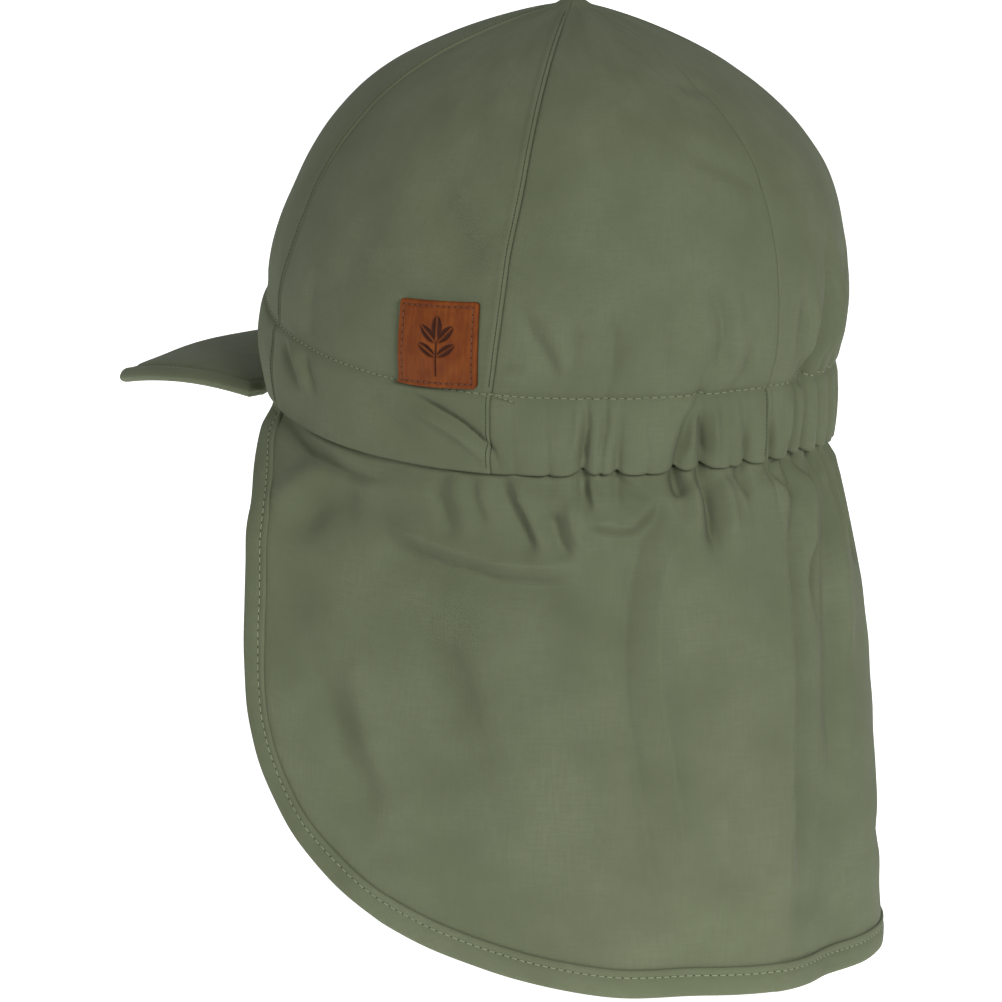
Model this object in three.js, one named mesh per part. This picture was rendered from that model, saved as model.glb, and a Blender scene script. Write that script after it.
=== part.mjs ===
// Child's legionnaire cap: a six-panel crown with a gathered casing, a soft peak,
// a neck flap with a bound edge and a square leather patch.
// Millimetres, +Z up, the wearer faces -Y and the wearer's left is +X.
// The origin is the centre of the head opening, at the middle height of the rim.
import * as THREE from 'three';

// Head opening, measured at the line of stitching above the casing
const HEAD_LENGTH = 177.2;
const HEAD_WIDTH = 141.8;

// Crown
const CROWN_RISE = 89;          // from the stitched line up to the top
const CROWN_SWELL = 1.2;        // how far the crown stands out past the stitched line
const CROWN_SHIFT = 9.5;        // how far the top lies behind the middle
const CROWN_LEAN = 3.4;         // how much further back its upper part leans
const FRONT_FLAT = 2.6;         // how much flatter its front is than an oval
const PANEL_COUNT = 6;
const PANEL_WALL = 1.2;
const PANEL_PUFF = 0.9;         // how far a panel stands out between its seams
const SEAM_GAP = 0.3;
const TIP_RADIUS = 1.3;         // where the panels' tips end round the top
const NUB_HEIGHT = 1.6;

// Casing: the folded lower edge of the panels
const CASING_BACK = 21;
const CASING_FRONT = 25;
const CASING_WALL = 2.4;
const CASING_SWELL_BACK = 1.6;
const CASING_SWELL_FRONT = 2.8;
const RIM_PITCH = 8;            // how far the rim rises at the front and falls at the back
const RIM_SIDE_DIP = 6.2;       // how far the rim dips at the sides
const GATHER_DEPTH = 3.4;       // deepest pinch of the elastic
const GATHER_WIDTH = 3.1;       // half width of a pinch

// Peak
const PEAK_SPAN = 44;           // half angle of its seam, in degrees from the front
const PEAK_REACH = 62;          // from the rim's front to the peak's front edge
const PEAK_WALL = 3;
const PEAK_TUCK = 4;            // height of the part sewn in behind the casing
const PEAK_CREST = 1.9;         // how far it rises before it falls
const PEAK_FALL = 14.6;         // how far its front edge lies below its seam
const PEAK_DROOP = 1.2;         // how far the front corners hang below the middle
const PEAK_OVERHANG = 5.7;      // how far its sides stand out past the ends of its seam

// Flap
const FLAP_PEAK_GAP = 5.5;      // degrees of plain rim between the peak's seam and the flap's
const FLAP_LENGTH = 143.5;
const FLAP_WALL = 1;
const FLAP_TUCK = 4;            // height of the part sewn in behind the casing
const FLAP_FLARE = 15.4;        // how far it swings out below the rim
const FLAP_FLARE_DEPTH = 55;    // depth over which most of that swing happens
const FLAP_ROUNDNESS = 2.54;    // exponent of the rounded outline of its free edge
const SIDE_ANGLE = 78;          // past this angle its sides hang straight on, away from the round
const SIDE_DEPTH = 30;          // depth over which they come away from the round
const SIDE_CUT = 0.27;          // share of that straight part by which its edge is cut back
const FOLD_DEPTH = 4;           // deepest long fold

// Binding folded round the flap's free edge
const BINDING_WIDTH = 8;
const BINDING_WALL = 1;
const BINDING_EASE = 0.45;      // clearance to the flap inside the fold

// Patch
const PATCH_WIDTH = 25;
const PATCH_HEIGHT = 24;
const PATCH_WALL = 1.5;
const PATCH_SEAM_INSET = 5;     // from its edge to the side seam
const PATCH_LIFT = 1.6;         // from its lower edge to the stitched line

const CLEARANCE = 0.3;

// Pinches of the elastic: angle from the back in degrees, depth as a share of GATHER_DEPTH
const GATHERS = [
  { angle: 48, depth: 0.35 }, { angle: 42, depth: 0.75 }, { angle: 34.7, depth: 0.8 },
  { angle: 28.5, depth: 0.35 }, { angle: 22.2, depth: 1 }, { angle: 15.6, depth: 1 },
  { angle: 7.7, depth: 0.95 }, { angle: -0.5, depth: 0.45 }, { angle: -9.7, depth: 1 },
  { angle: -16.5, depth: 0.7 }, { angle: -23.5, depth: 0.95 }, { angle: -31, depth: 0.8 },
  { angle: -38.5, depth: 0.9 }, { angle: -47, depth: 0.5 },
];

// Long folds of the flap: angle in degrees, depth as a share of FOLD_DEPTH (negative falls inward),
// half width and top as shares of FLAP_LENGTH
const FLAP_FOLDS = [
  { angle: 92, depth: 0.5, width: 0.16, top: 0.1 },
  { angle: 66, depth: -0.5, width: 0.13, top: 0.05 },
  { angle: 35, depth: 0.9, width: 0.1, top: 0.12 },
  { angle: 23, depth: -0.8, width: 0.08, top: 0.1 },
  { angle: 5, depth: 0.8, width: 0.09, top: 0.08 },
  { angle: -10, depth: -0.9, width: 0.08, top: 0.06 },
  { angle: -32, depth: 0.4, width: 0.1, top: 0.1 },
  { angle: -56, depth: -0.6, width: 0.11, top: 0.05 },
  { angle: -84, depth: 0.5, width: 0.14, top: 0.1 },
];

const HALF_LENGTH = HEAD_LENGTH / 2;
const HALF_WIDTH = HEAD_WIDTH / 2;
const CASING_MIDDLE = (CASING_BACK + CASING_FRONT) / 2;
const MEAN_RADIUS = Math.hypot(HALF_LENGTH, HALF_WIDTH) / Math.SQRT2;
const PANEL_ANGLE = 360 / PANEL_COUNT;
const FLAP_SPAN = 180 - PEAK_SPAN - FLAP_PEAK_GAP;

const radians = (degrees) => degrees * Math.PI / 180;
const mix = (a, b, share) => a + (b - a) * share;
const bell = (value) => Math.exp(-value * value);

function ease(value) {
  const share = Math.min(1, Math.max(0, value));
  return share * share * (3 - 2 * share);
}

// Length along the rim of an angle, on the mean radius
const rimLength = (degrees) => radians(degrees) * MEAN_RADIUS;

// Heights of the stitched line and of the lower edge, at an angle from the back
function stitchHeight(angle) {
  const turn = radians(angle);
  return CASING_MIDDLE - RIM_PITCH * Math.cos(turn) - RIM_SIDE_DIP * Math.sin(turn) ** 2;
}

function casingHeight(angle) {
  return mix(CASING_BACK, CASING_FRONT, (1 - Math.cos(radians(angle))) / 2);
}

function rimHeight(angle) {
  return stitchHeight(angle) - casingHeight(angle);
}

// Depth of the elastic's pinches at an angle
function pinch(angle) {
  let depth = 0;
  for (const gather of GATHERS) {
    depth += gather.depth * bell(rimLength(angle - gather.angle) / GATHER_WIDTH);
  }
  return GATHER_DEPTH * depth;
}

// A point on an oval that is a share of the head opening, moved outward in plan
function ovalPoint(angle, share, outward, height) {
  const turn = radians(angle);
  const normal = new THREE.Vector2(Math.sin(turn) / HALF_WIDTH, Math.cos(turn) / HALF_LENGTH).normalize();
  const x = Math.sin(turn) * HALF_WIDTH * share + normal.x * outward;
  const y = Math.cos(turn) * HALF_LENGTH * share + normal.y * outward;
  return new THREE.Vector3(x, y, height);
}

// Outer face of the crown: angle in degrees, rise from 0 at the stitched line to 1 at the top
const SWELL_SHARE = 0.1;        // share of the rise where the crown is widest
const TOP_TAPER = 0.45;         // how much the gores' tips narrow below a round dome
const PUCKER_SHARE = 0.12;      // share of the rise that the gathers reach up
const NUB_SPREAD = 0.004;
const SHIFT_POWER = 0.6;        // most of the backward shift happens low down
const LEAN_RISE = 0.68;         // rise where the lean is greatest, and its spread
const LEAN_SPREAD = 0.3;
const FLAT_RISE = 0.36;         // rise where the front is flattest, and its spread
const FLAT_SPREAD = 0.28;
function crownPoint(angle, rise) {
  let share = 1 + CROWN_SWELL / MEAN_RADIUS;
  const up = (rise - SWELL_SHARE) / (1 - SWELL_SHARE);
  if (up < 0) share = mix(1, share, ease(rise / SWELL_SHARE));
  else share *= Math.sqrt(Math.max(0, 1 - up * up)) * (1 - TOP_TAPER * up ** 8);
  const puff = PANEL_PUFF * Math.abs(Math.sin(radians(angle * PANEL_COUNT / 2))) * Math.sin(Math.PI * rise);
  const pucker = pinch(angle) / 2 * bell(rise / PUCKER_SHARE);
  const base = stitchHeight(angle);
  const height = mix(base, CASING_MIDDLE + CROWN_RISE, rise) + NUB_HEIGHT * bell((1 - rise) / NUB_SPREAD);
  const front = ease((1 - Math.cos(radians(angle))) / 2);
  const flat = FRONT_FLAT * front * bell((rise - FLAT_RISE) / FLAT_SPREAD);
  const point = ovalPoint(angle, share, puff - pucker - flat, height);
  point.y += CROWN_SHIFT * rise ** SHIFT_POWER + CROWN_LEAN * bell((rise - LEAN_RISE) / LEAN_SPREAD);
  return point;
}

// Outer face of the casing: drop from 0 at the stitched line to 1 at the lower edge
function casingPoint(angle, drop) {
  const front = ease((1 - Math.cos(radians(angle))) / 2);
  const swell = mix(CASING_SWELL_BACK, CASING_SWELL_FRONT, front) * Math.sin(Math.PI * drop ** 0.8);
  const inward = pinch(angle) * mix(1 / 2, 1, ease(drop));
  return ovalPoint(angle, 1, swell - inward, mix(stitchHeight(angle), rimHeight(angle), drop));
}

// Unit normal of a surface given as a function of two values
const ANGLE_STEP = 0.1;
const RISE_STEP = 0.0005;
function surfaceNormal(surface, a, b, stepA, stepB) {
  const alongA = surface(a + stepA, b).sub(surface(a - stepA, b));
  const alongB = surface(a, b + stepB).sub(surface(a, b - stepB));
  return alongA.cross(alongB).normalize();
}

// Geometry whose faces point outward, whichever way its grid ran
function closedGeometry(points, faces) {
  let volume = 0;
  for (let face = 0; face < faces.length; face += 3) {
    const cross = points[faces[face + 1]].clone().cross(points[faces[face + 2]]);
    volume += points[faces[face]].dot(cross);
  }
  if (volume < 0) faces.reverse();
  const geometry = new THREE.BufferGeometry().setFromPoints(points);
  geometry.setIndex(faces);
  geometry.computeVertexNormals();
  return geometry;
}

// A closed wall from a grid of outer points and a matching grid of inner points
function wallGeometry(outer, inner) {
  const rows = outer.length;
  const columns = outer[0].length;
  const at = (side, row, column) => (side * rows + row) * columns + column;
  const faces = [];
  const quad = (a, b, c, d) => faces.push(a, b, c, a, c, d);
  for (let row = 0; row < rows - 1; row += 1) {
    for (let column = 0; column < columns - 1; column += 1) {
      quad(at(0, row, column), at(0, row, column + 1), at(0, row + 1, column + 1), at(0, row + 1, column));
      quad(at(1, row, column), at(1, row + 1, column), at(1, row + 1, column + 1), at(1, row, column + 1));
    }
  }
  const bottom = rows - 1;
  const right = columns - 1;
  for (let column = 0; column < right; column += 1) {
    quad(at(1, 0, column), at(1, 0, column + 1), at(0, 0, column + 1), at(0, 0, column));
    quad(at(0, bottom, column), at(0, bottom, column + 1), at(1, bottom, column + 1), at(1, bottom, column));
  }
  for (let row = 0; row < bottom; row += 1) {
    quad(at(0, row, 0), at(0, row + 1, 0), at(1, row + 1, 0), at(1, row, 0));
    quad(at(1, row, right), at(1, row + 1, right), at(0, row + 1, right), at(0, row, right));
  }
  return closedGeometry([...outer.flat(), ...inner.flat()], faces);
}

const cotton = new THREE.MeshStandardMaterial({ color: 0x656c54, roughness: 0.9, metalness: 0 });
const binding = new THREE.MeshStandardMaterial({ color: 0x5f664e, roughness: 0.9, metalness: 0 });
const leather = new THREE.MeshStandardMaterial({ color: 0x7a4529, roughness: 0.7, metalness: 0 });

const cap = new THREE.Group();

function addPiece(name, geometry, material) {
  const mesh = new THREE.Mesh(geometry, material);
  mesh.name = name;
  cap.add(mesh);
}

// A crown panel between two seams, from the lower edge of the casing to its tip
const CASING_DROPS = [1, 0.75, 0.45, 0.2, 0];
const CROWN_ROWS = 8;
const WALL_STEP = 0.03;         // share of the rise where the plain wall starts

// The casing's wall lies level behind its outer face, the crown's wall square to it
function behindCasing(surface, angle, place, wall) {
  const outward = ovalPoint(angle, 0, 1, 0);
  return surface(angle, place).addScaledVector(outward, -wall);
}

function behindCrown(surface, angle, place, wall) {
  const normal = surfaceNormal(surface, angle, place, ANGLE_STEP, RISE_STEP);
  return surface(angle, place).addScaledVector(normal, wall);
}

function panelGeometry(middle, columns) {
  const topTurn = Math.PI / 2 - TIP_RADIUS / (HALF_WIDTH * (1 - TOP_TAPER));
  const stations = CASING_DROPS.map((drop) => ({
    surface: casingPoint, place: drop, inside: behindCasing, wall: CASING_WALL,
  }));
  for (let row = 0; row <= CROWN_ROWS; row += 1) {
    const place = Math.sin(mix(Math.asin(WALL_STEP), topTurn, row / CROWN_ROWS));
    stations.push({ surface: crownPoint, place, inside: behindCrown, wall: PANEL_WALL });
  }
  const outer = [];
  const inner = [];
  for (const { surface, place, inside, wall } of stations) {
    const radius = surface(middle, place).distanceTo(surface(middle + 180, place)) / 2;
    const half = PANEL_ANGLE / 2 - Math.asin(SEAM_GAP / 2 / radius) * 180 / Math.PI;
    const outerRow = [];
    const innerRow = [];
    for (let column = 0; column <= columns; column += 1) {
      const angle = middle + mix(-half, half, column / columns);
      outerRow.push(surface(angle, place));
      innerRow.push(inside(surface, angle, place, wall));
    }
    outer.push(outerRow);
    inner.push(innerRow);
  }
  return wallGeometry(outer, inner);
}

const BACK_COLUMNS = 26;
const SIDE_COLUMNS = 14;
const FRONT_COLUMNS = 10;
const panels = [
  { name: 'panel_back_left', middle: PANEL_ANGLE / 2, columns: BACK_COLUMNS },
  { name: 'panel_side_left', middle: PANEL_ANGLE * 3 / 2, columns: SIDE_COLUMNS },
  { name: 'panel_front_left', middle: PANEL_ANGLE * 5 / 2, columns: FRONT_COLUMNS },
  { name: 'panel_front_right', middle: -PANEL_ANGLE * 5 / 2, columns: FRONT_COLUMNS },
  { name: 'panel_side_right', middle: -PANEL_ANGLE * 3 / 2, columns: SIDE_COLUMNS },
  { name: 'panel_back_right', middle: -PANEL_ANGLE / 2, columns: BACK_COLUMNS },
];
for (const { name, middle, columns } of panels) addPiece(name, panelGeometry(middle, columns), cotton);

// The peak: its seam is tucked in behind the casing, and it then runs out to a rounded front
const PEAK_COLUMNS = 16;
const PEAK_SQUARENESS = 3;      // exponent of the rounded outline
const PEAK_STEPS = [0.12, 0.3, 0.5, 0.7, 0.87, 1];
function peakGeometry() {
  const seamEnd = ovalPoint(180 - PEAK_SPAN, 1, 0, 0);
  const tuckOut = -CASING_WALL - CLEARANCE;
  const power = 2 / PEAK_SQUARENESS;
  const top = [];
  const under = [];
  for (let column = 0; column <= PEAK_COLUMNS; column += 1) {
    const across = mix(-1, 1, column / PEAK_COLUMNS);
    const angle = 180 + across * PEAK_SPAN;
    const seamHeight = rimHeight(angle) - CLEARANCE;
    const edgeTurn = across * Math.PI / 2;
    const edgeX = -Math.sign(across) * (seamEnd.x + PEAK_OVERHANG) * Math.abs(Math.sin(edgeTurn)) ** power;
    const edgeY = seamEnd.y - (HALF_LENGTH + PEAK_REACH + seamEnd.y) * Math.abs(Math.cos(edgeTurn)) ** power;
    const rows = [
      [ovalPoint(angle, 1, tuckOut, seamHeight + PEAK_TUCK), PEAK_WALL / 2, 0],
      [ovalPoint(angle, 1, tuckOut, seamHeight), PEAK_WALL / 2, 1],
      [ovalPoint(angle, 1, CLEARANCE, seamHeight), 0, PEAK_WALL],
    ];
    const start = rows[2][0];
    for (const out of PEAK_STEPS) {
      const place = new THREE.Vector3(mix(start.x, edgeX, out), mix(start.y, edgeY, out), seamHeight);
      const reach = place.distanceTo(start) / PEAK_REACH;
      const drop = PEAK_FALL * reach ** 2 + PEAK_DROOP * reach * across ** 2;
      place.z += PEAK_CREST * Math.sin(Math.PI * Math.min(1, reach)) - drop;
      rows.push([place, 0, PEAK_WALL]);
    }
    rows.forEach(([point, back, down], row) => {
      if (column === 0) {
        top.push([]);
        under.push([]);
      }
      top[row].push(point);
      under[row].push(ovalPoint(angle, 0, -back, -down).add(point));
    });
  }
  return wallGeometry(top, under);
}
addPiece('peak', peakGeometry(), cotton);

// Outer face of the flap: length along the rim from the centre back, and depth below the rim
const SIDE_FLARE = 0.8;         // share of the flare that the sides get
const SWING_START = 2;          // depth where the flap comes free of the casing
const CLEAR_DEPTH = 15;         // depth where it has come out from behind the casing
const GATHER_FADE = 16;         // depth over which the elastic's pinches die away
const FOLD_RAMP = 0.35;         // share of the flap's length over which a long fold deepens
function flapPoint(length, depth) {
  const angle = length / rimLength(1);
  const hang = Math.max(0, depth - SWING_START);
  const flare = FLAP_FLARE * (1 - Math.exp(-hang / FLAP_FLARE_DEPTH));
  const behind = (CASING_WALL + CLEARANCE) * (1 - ease(hang / CLEAR_DEPTH));
  let fold = -pinch(angle) * Math.exp(-hang / GATHER_FADE);
  for (const row of FLAP_FOLDS) {
    const away = (length - rimLength(row.angle)) / (row.width * FLAP_LENGTH);
    fold += row.depth * FOLD_DEPTH * bell(away) * ease((hang / FLAP_LENGTH - row.top) / FOLD_RAMP);
  }
  const spread = new THREE.Vector3(SIDE_FLARE, 1, 1);
  const height = rimHeight(angle) - depth;
  const hangFrom = (place) => ovalPoint(place, 0, flare, 0).multiply(spread)
    .add(ovalPoint(place, 1, fold - behind, height));
  const past = Math.abs(angle) - SIDE_ANGLE;
  if (past <= 0) return hangFrom(angle);
  const turned = Math.sign(angle) * SIDE_ANGLE;
  const forward = ovalPoint(turned + Math.sign(angle), 1, 0, 0).sub(ovalPoint(turned - Math.sign(angle), 1, 0, 0));
  const straight = hangFrom(turned).addScaledVector(forward.normalize(), rimLength(past));
  return hangFrom(angle).lerp(straight, ease(hang / SIDE_DEPTH));
}

// Stations along the flap's free edge, from its left top over the hem to its right top.
// Each holds a point of the cut edge, laid flat, and the inward direction there.
const HALF_SPAN = rimLength(FLAP_SPAN);
const CORNER = 0.5 ** (1 / FLAP_ROUNDNESS);
const BOUND_START = 0.6;        // depth where the binding starts, just clear of the casing
const SIDE_ROWS = [0, (FLAP_TUCK + BOUND_START) / (FLAP_TUCK + CORNER * FLAP_LENGTH),
  0.085, 0.15, 0.24, 0.36, 0.49, 0.62, 0.75, 0.88, 1];
const BAND = BINDING_WIDTH + 1;
const CUT_LEAD = 6;             // how far above the rim the cutting back starts
const CUT_FADE_START = 35;      // depth where it begins to die away, and how long that takes
const CUT_FADE = 90;
const EDGE_STEP = 0.1;
const TURN_DEPTH = 24;          // depth over which the binding is let turn square to the edge
const FRONT_STEPS = 8;

// The cut edge at a place along the flap's outline, whose sides are cut back past SIDE_ANGLE
function cutEdge(length, depth) {
  const past = Math.max(0, Math.abs(length) - rimLength(SIDE_ANGLE));
  const fade = 1 - ease((depth - CUT_FADE_START) / CUT_FADE);
  const cut = SIDE_CUT * ease((depth + CUT_LEAD) / SIDE_DEPTH) * fade;
  return new THREE.Vector2(length - Math.sign(length) * past * cut, depth);
}

// Near the top the inward direction is held nearly level, so the binding stays below the casing
function edgeStation(length, depth) {
  const side = Math.abs(length / HALF_SPAN) ** (FLAP_ROUNDNESS - 1) / HALF_SPAN;
  const down = Math.max(0, depth / FLAP_LENGTH) ** (FLAP_ROUNDNESS - 1) / FLAP_LENGTH;
  const along = new THREE.Vector2(down, -Math.sign(length) * side).normalize();
  const ahead = cutEdge(length + along.x * EDGE_STEP, depth + along.y * EDGE_STEP);
  const back = cutEdge(length - along.x * EDGE_STEP, depth - along.y * EDGE_STEP);
  const run = ahead.sub(back).normalize();
  const lift = Math.min(run.x, Math.max(0, depth - BOUND_START) / TURN_DEPTH);
  const inward = new THREE.Vector2(Math.sign(run.y) * Math.sqrt(1 - lift * lift), -lift);
  return { edge: cutEdge(length, depth), inward };
}

const sideStations = SIDE_ROWS.map((row) => {
  const depth = mix(-FLAP_TUCK, CORNER * FLAP_LENGTH, row);
  const share = 1 - Math.max(0, depth / FLAP_LENGTH) ** FLAP_ROUNDNESS;
  return edgeStation(HALF_SPAN * share ** (1 / FLAP_ROUNDNESS), depth);
});

// Columns share the casing's angles over the gathered back and spread evenly past it
const topEnd = HALF_SPAN - BAND;
const columnLengths = [];
for (let step = 0; step <= BACK_COLUMNS; step += 1) {
  columnLengths.push(rimLength(PANEL_ANGLE) * step / BACK_COLUMNS);
}
for (let step = 1; step <= FRONT_STEPS; step += 1) {
  columnLengths.push(mix(rimLength(PANEL_ANGLE), topEnd, step / FRONT_STEPS));
}
const mirrored = columnLengths.slice(1).reverse().map((length) => -length);
const columns = [...mirrored, ...columnLengths].map((length) => length / topEnd);
const hemStations = columns.map((column) => {
  const share = Math.abs(column) * CORNER;
  const depth = FLAP_LENGTH * (1 - share ** FLAP_ROUNDNESS) ** (1 / FLAP_ROUNDNESS);
  return edgeStation(column * CORNER * HALF_SPAN, depth);
});
const mirrorStation = ({ edge, inward }) => ({
  edge: new THREE.Vector2(-edge.x, edge.y), inward: new THREE.Vector2(-inward.x, inward.y),
});
const edgeStations = [
  ...sideStations.slice(0, -1).map(mirrorStation),
  ...hemStations,
  ...sideStations.slice(0, -1).reverse(),
];
const inset = ({ edge, inward }, distance) => edge.clone().addScaledVector(inward, distance);

// Cut points of the flap laid flat: a grid inside the band, and rings out to the free edge
function flapGeometry() {
  const points = [];
  const faces = [];
  const rows = SIDE_ROWS.length;
  const count = columns.length;
  SIDE_ROWS.forEach((row, rowIndex) => {
    const side = inset(sideStations[rowIndex], BAND);
    const corner = inset(sideStations[rows - 1], BAND);
    columns.forEach((column, columnIndex) => {
      const top = new THREE.Vector2(column * topEnd, -FLAP_TUCK);
      const hem = inset(hemStations[columnIndex], BAND);
      const grid = top.lerp(hem, row);
      grid.x += column * (side.x - mix(topEnd, corner.x, row));
      grid.y += column ** 2 * (side.y - mix(-FLAP_TUCK, corner.y, row));
      points.push(grid);
    });
  });
  const quad = (a, b, c, d) => faces.push(a, b, c, a, c, d);
  for (let row = 0; row < rows - 1; row += 1) {
    for (let column = 0; column < count - 1; column += 1) {
      const first = row * count + column;
      quad(first, first + 1, first + count + 1, first + count);
    }
  }
  let ring = [];
  for (let row = 0; row < rows - 1; row += 1) ring.push(row * count);
  for (let column = 0; column < count; column += 1) ring.push((rows - 1) * count + column);
  for (let row = rows - 2; row >= 0; row -= 1) ring.push(row * count + count - 1);
  for (const distance of [BINDING_WIDTH / 2, BINDING_WALL + BINDING_EASE]) {
    const start = points.length;
    for (const station of edgeStations) points.push(inset(station, distance));
    const next = edgeStations.map((station, index) => start + index);
    for (let index = 0; index < ring.length - 1; index += 1) {
      quad(ring[index], ring[index + 1], next[index + 1], next[index]);
    }
    ring = next;
  }
  const middleRing = points.length - 2 * edgeStations.length;
  const middleRingEnd = middleRing + edgeStations.length - 1;
  const topRow = columns.map((column, index) => index);
  const loop = [...topRow, middleRingEnd, ...ring.reverse(), middleRing];
  return thickGeometry(points, faces, loop);
}

// A wall of the flap's thickness from flat points, their faces and the loop round them
function thickGeometry(points, faces, loop) {
  const outer = points.map(({ x, y }) => flapPoint(x, y));
  const inner = points.map(({ x, y }, index) => outer[index].clone().addScaledVector(flapInward(x, y), FLAP_WALL));
  const all = [...faces];
  for (let face = 0; face < faces.length; face += 3) {
    all.push(faces[face + 2] + outer.length, faces[face + 1] + outer.length, faces[face] + outer.length);
  }
  loop.forEach((here, index) => {
    const next = loop[(index + 1) % loop.length];
    all.push(next, here, here + outer.length, next, here + outer.length, next + outer.length);
  });
  return closedGeometry([...outer, ...inner], all);
}

// Inward direction at the flap: level behind the casing, square to the cloth below it
const FLAP_STEP = 0.5;
function flapInward(length, depth) {
  const level = ovalPoint(length / rimLength(1), 0, -1, 0);
  const square = surfaceNormal(flapPoint, length, depth, FLAP_STEP, FLAP_STEP);
  if (square.dot(level) < 0) square.negate();
  return level.lerp(square, ease(depth / CLEAR_DEPTH)).normalize();
}
addPiece('flap', flapGeometry(), cotton);

// The binding: a strip folded over the free edge, stitched through the flap
function bindingGeometry() {
  const slot = FLAP_WALL / 2 + BINDING_EASE;
  const half = slot + BINDING_WALL;
  const section = [
    [BINDING_WIDTH, half], [0, half], [0, -half], [BINDING_WIDTH, -half],
    [BINDING_WIDTH, -slot], [BINDING_WALL, -slot], [BINDING_WALL, slot], [BINDING_WIDTH, slot],
  ];
  const backward = [2, 6];      // sides whose facets are split the other way, as the flap's are
  const points = [];
  const faces = [];
  const quad = (a, b, c, d) => faces.push(a, b, c, a, c, d);
  const bound = edgeStations.slice(1, -1);
  for (const station of bound) {
    for (const [distance, away] of section) {
      const { x, y } = inset(station, distance);
      points.push(flapPoint(x, y).addScaledVector(flapInward(x, y), FLAP_WALL / 2 - away));
    }
  }
  const sides = section.length;
  for (let index = 0; index < bound.length - 1; index += 1) {
    for (let side = 0; side < sides; side += 1) {
      const next = (side + 1) % sides;
      const here = index * sides;
      const corners = [here + side, here + next, here + sides + next, here + sides + side];
      if (backward.includes(side)) corners.push(corners.shift());
      quad(...corners);
    }
  }
  const end = (bound.length - 1) * sides;
  for (const [a, b, c, d] of [[0, 1, 6, 7], [1, 2, 5, 6], [2, 3, 4, 5]]) {
    quad(d, c, b, a);
    quad(end + a, end + b, end + c, end + d);
  }
  return closedGeometry(points, faces);
}
addPiece('flap_binding', bindingGeometry(), binding);

// The patch lies on the left side panel, just in front of its rear seam
const PATCH_STEPS = 6;
function patchGeometry() {
  const outer = [];
  const inner = [];
  const rimStep = crownPoint(PANEL_ANGLE + 1, 0).distanceTo(crownPoint(PANEL_ANGLE, 0));
  const seam = PANEL_ANGLE + PATCH_SEAM_INSET / rimStep;
  const wide = crownPoint(seam + PATCH_WIDTH / rimStep / 2, 0);
  const wideStep = wide.distanceTo(crownPoint(seam + PATCH_WIDTH / rimStep / 2 + 1, 0));
  for (let row = 0; row <= PATCH_STEPS; row += 1) {
    const outerRow = [];
    const innerRow = [];
    for (let column = 0; column <= PATCH_STEPS; column += 1) {
      const angle = seam + PATCH_WIDTH / wideStep * column / PATCH_STEPS;
      const lift = PATCH_LIFT + PATCH_HEIGHT * row / PATCH_STEPS;
      const rise = lift / (CASING_MIDDLE + CROWN_RISE - stitchHeight(angle));
      outerRow.push(behindCrown(crownPoint, angle, rise, -CLEARANCE - PATCH_WALL));
      innerRow.push(behindCrown(crownPoint, angle, rise, -CLEARANCE));
    }
    outer.push(outerRow);
    inner.push(innerRow);
  }
  return wallGeometry(outer, inner);
}
addPiece('patch', patchGeometry(), leather);

export default cap;
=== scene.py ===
# Child's legionnaire cap in olive cotton, with a leather patch on its left side
import math
import bpy
import numpy as np
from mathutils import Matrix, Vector


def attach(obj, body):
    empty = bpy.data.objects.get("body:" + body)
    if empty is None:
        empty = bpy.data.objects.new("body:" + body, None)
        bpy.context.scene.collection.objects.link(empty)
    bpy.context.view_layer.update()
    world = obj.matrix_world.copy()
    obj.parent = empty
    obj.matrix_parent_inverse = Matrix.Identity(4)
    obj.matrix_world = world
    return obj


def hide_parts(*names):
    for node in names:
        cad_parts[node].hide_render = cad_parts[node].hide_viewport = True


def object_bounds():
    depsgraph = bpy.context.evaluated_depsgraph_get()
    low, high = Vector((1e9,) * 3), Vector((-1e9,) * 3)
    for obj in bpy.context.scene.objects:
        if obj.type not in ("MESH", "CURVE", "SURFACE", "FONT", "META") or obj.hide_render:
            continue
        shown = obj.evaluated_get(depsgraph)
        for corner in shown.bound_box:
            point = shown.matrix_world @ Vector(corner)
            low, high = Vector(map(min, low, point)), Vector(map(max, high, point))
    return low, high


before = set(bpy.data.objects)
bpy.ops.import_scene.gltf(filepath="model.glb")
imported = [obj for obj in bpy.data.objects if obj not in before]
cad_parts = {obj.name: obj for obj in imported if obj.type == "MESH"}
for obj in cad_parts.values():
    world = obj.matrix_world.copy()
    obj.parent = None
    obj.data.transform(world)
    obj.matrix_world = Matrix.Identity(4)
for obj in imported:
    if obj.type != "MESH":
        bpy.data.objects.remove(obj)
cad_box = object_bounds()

# The view: a product photograph on a white sweep, taken from behind the wearer's left
# shoulder with a long lens, lit by one large soft source and a weak fill.
VIEW_AZIMUTH = 42.2             # degrees from the back towards the wearer's left
VIEW_HEIGHT = 9.95              # degrees above level
VIEW_DISTANCE = 3.0             # metres
VIEW_ABOUT = Vector((0, 0, 0.023))
AIM_ACROSS = -0.01306           # metres from there to the picture's centre
AIM_UP = -0.0513
LENS = 388
FLOOR_DROP = 0.02
WHITE = "#ffffff"
GLOW = 1.0                      # the sweep is lit through from behind, as a light table is


def linear(code):
    channels = [int(code[i:i + 2], 16) / 255 for i in (1, 3, 5)]
    return tuple(c / 12.92 if c <= 0.04045 else ((c + 0.055) / 1.055) ** 2.4 for c in channels) + (1.0,)


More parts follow.
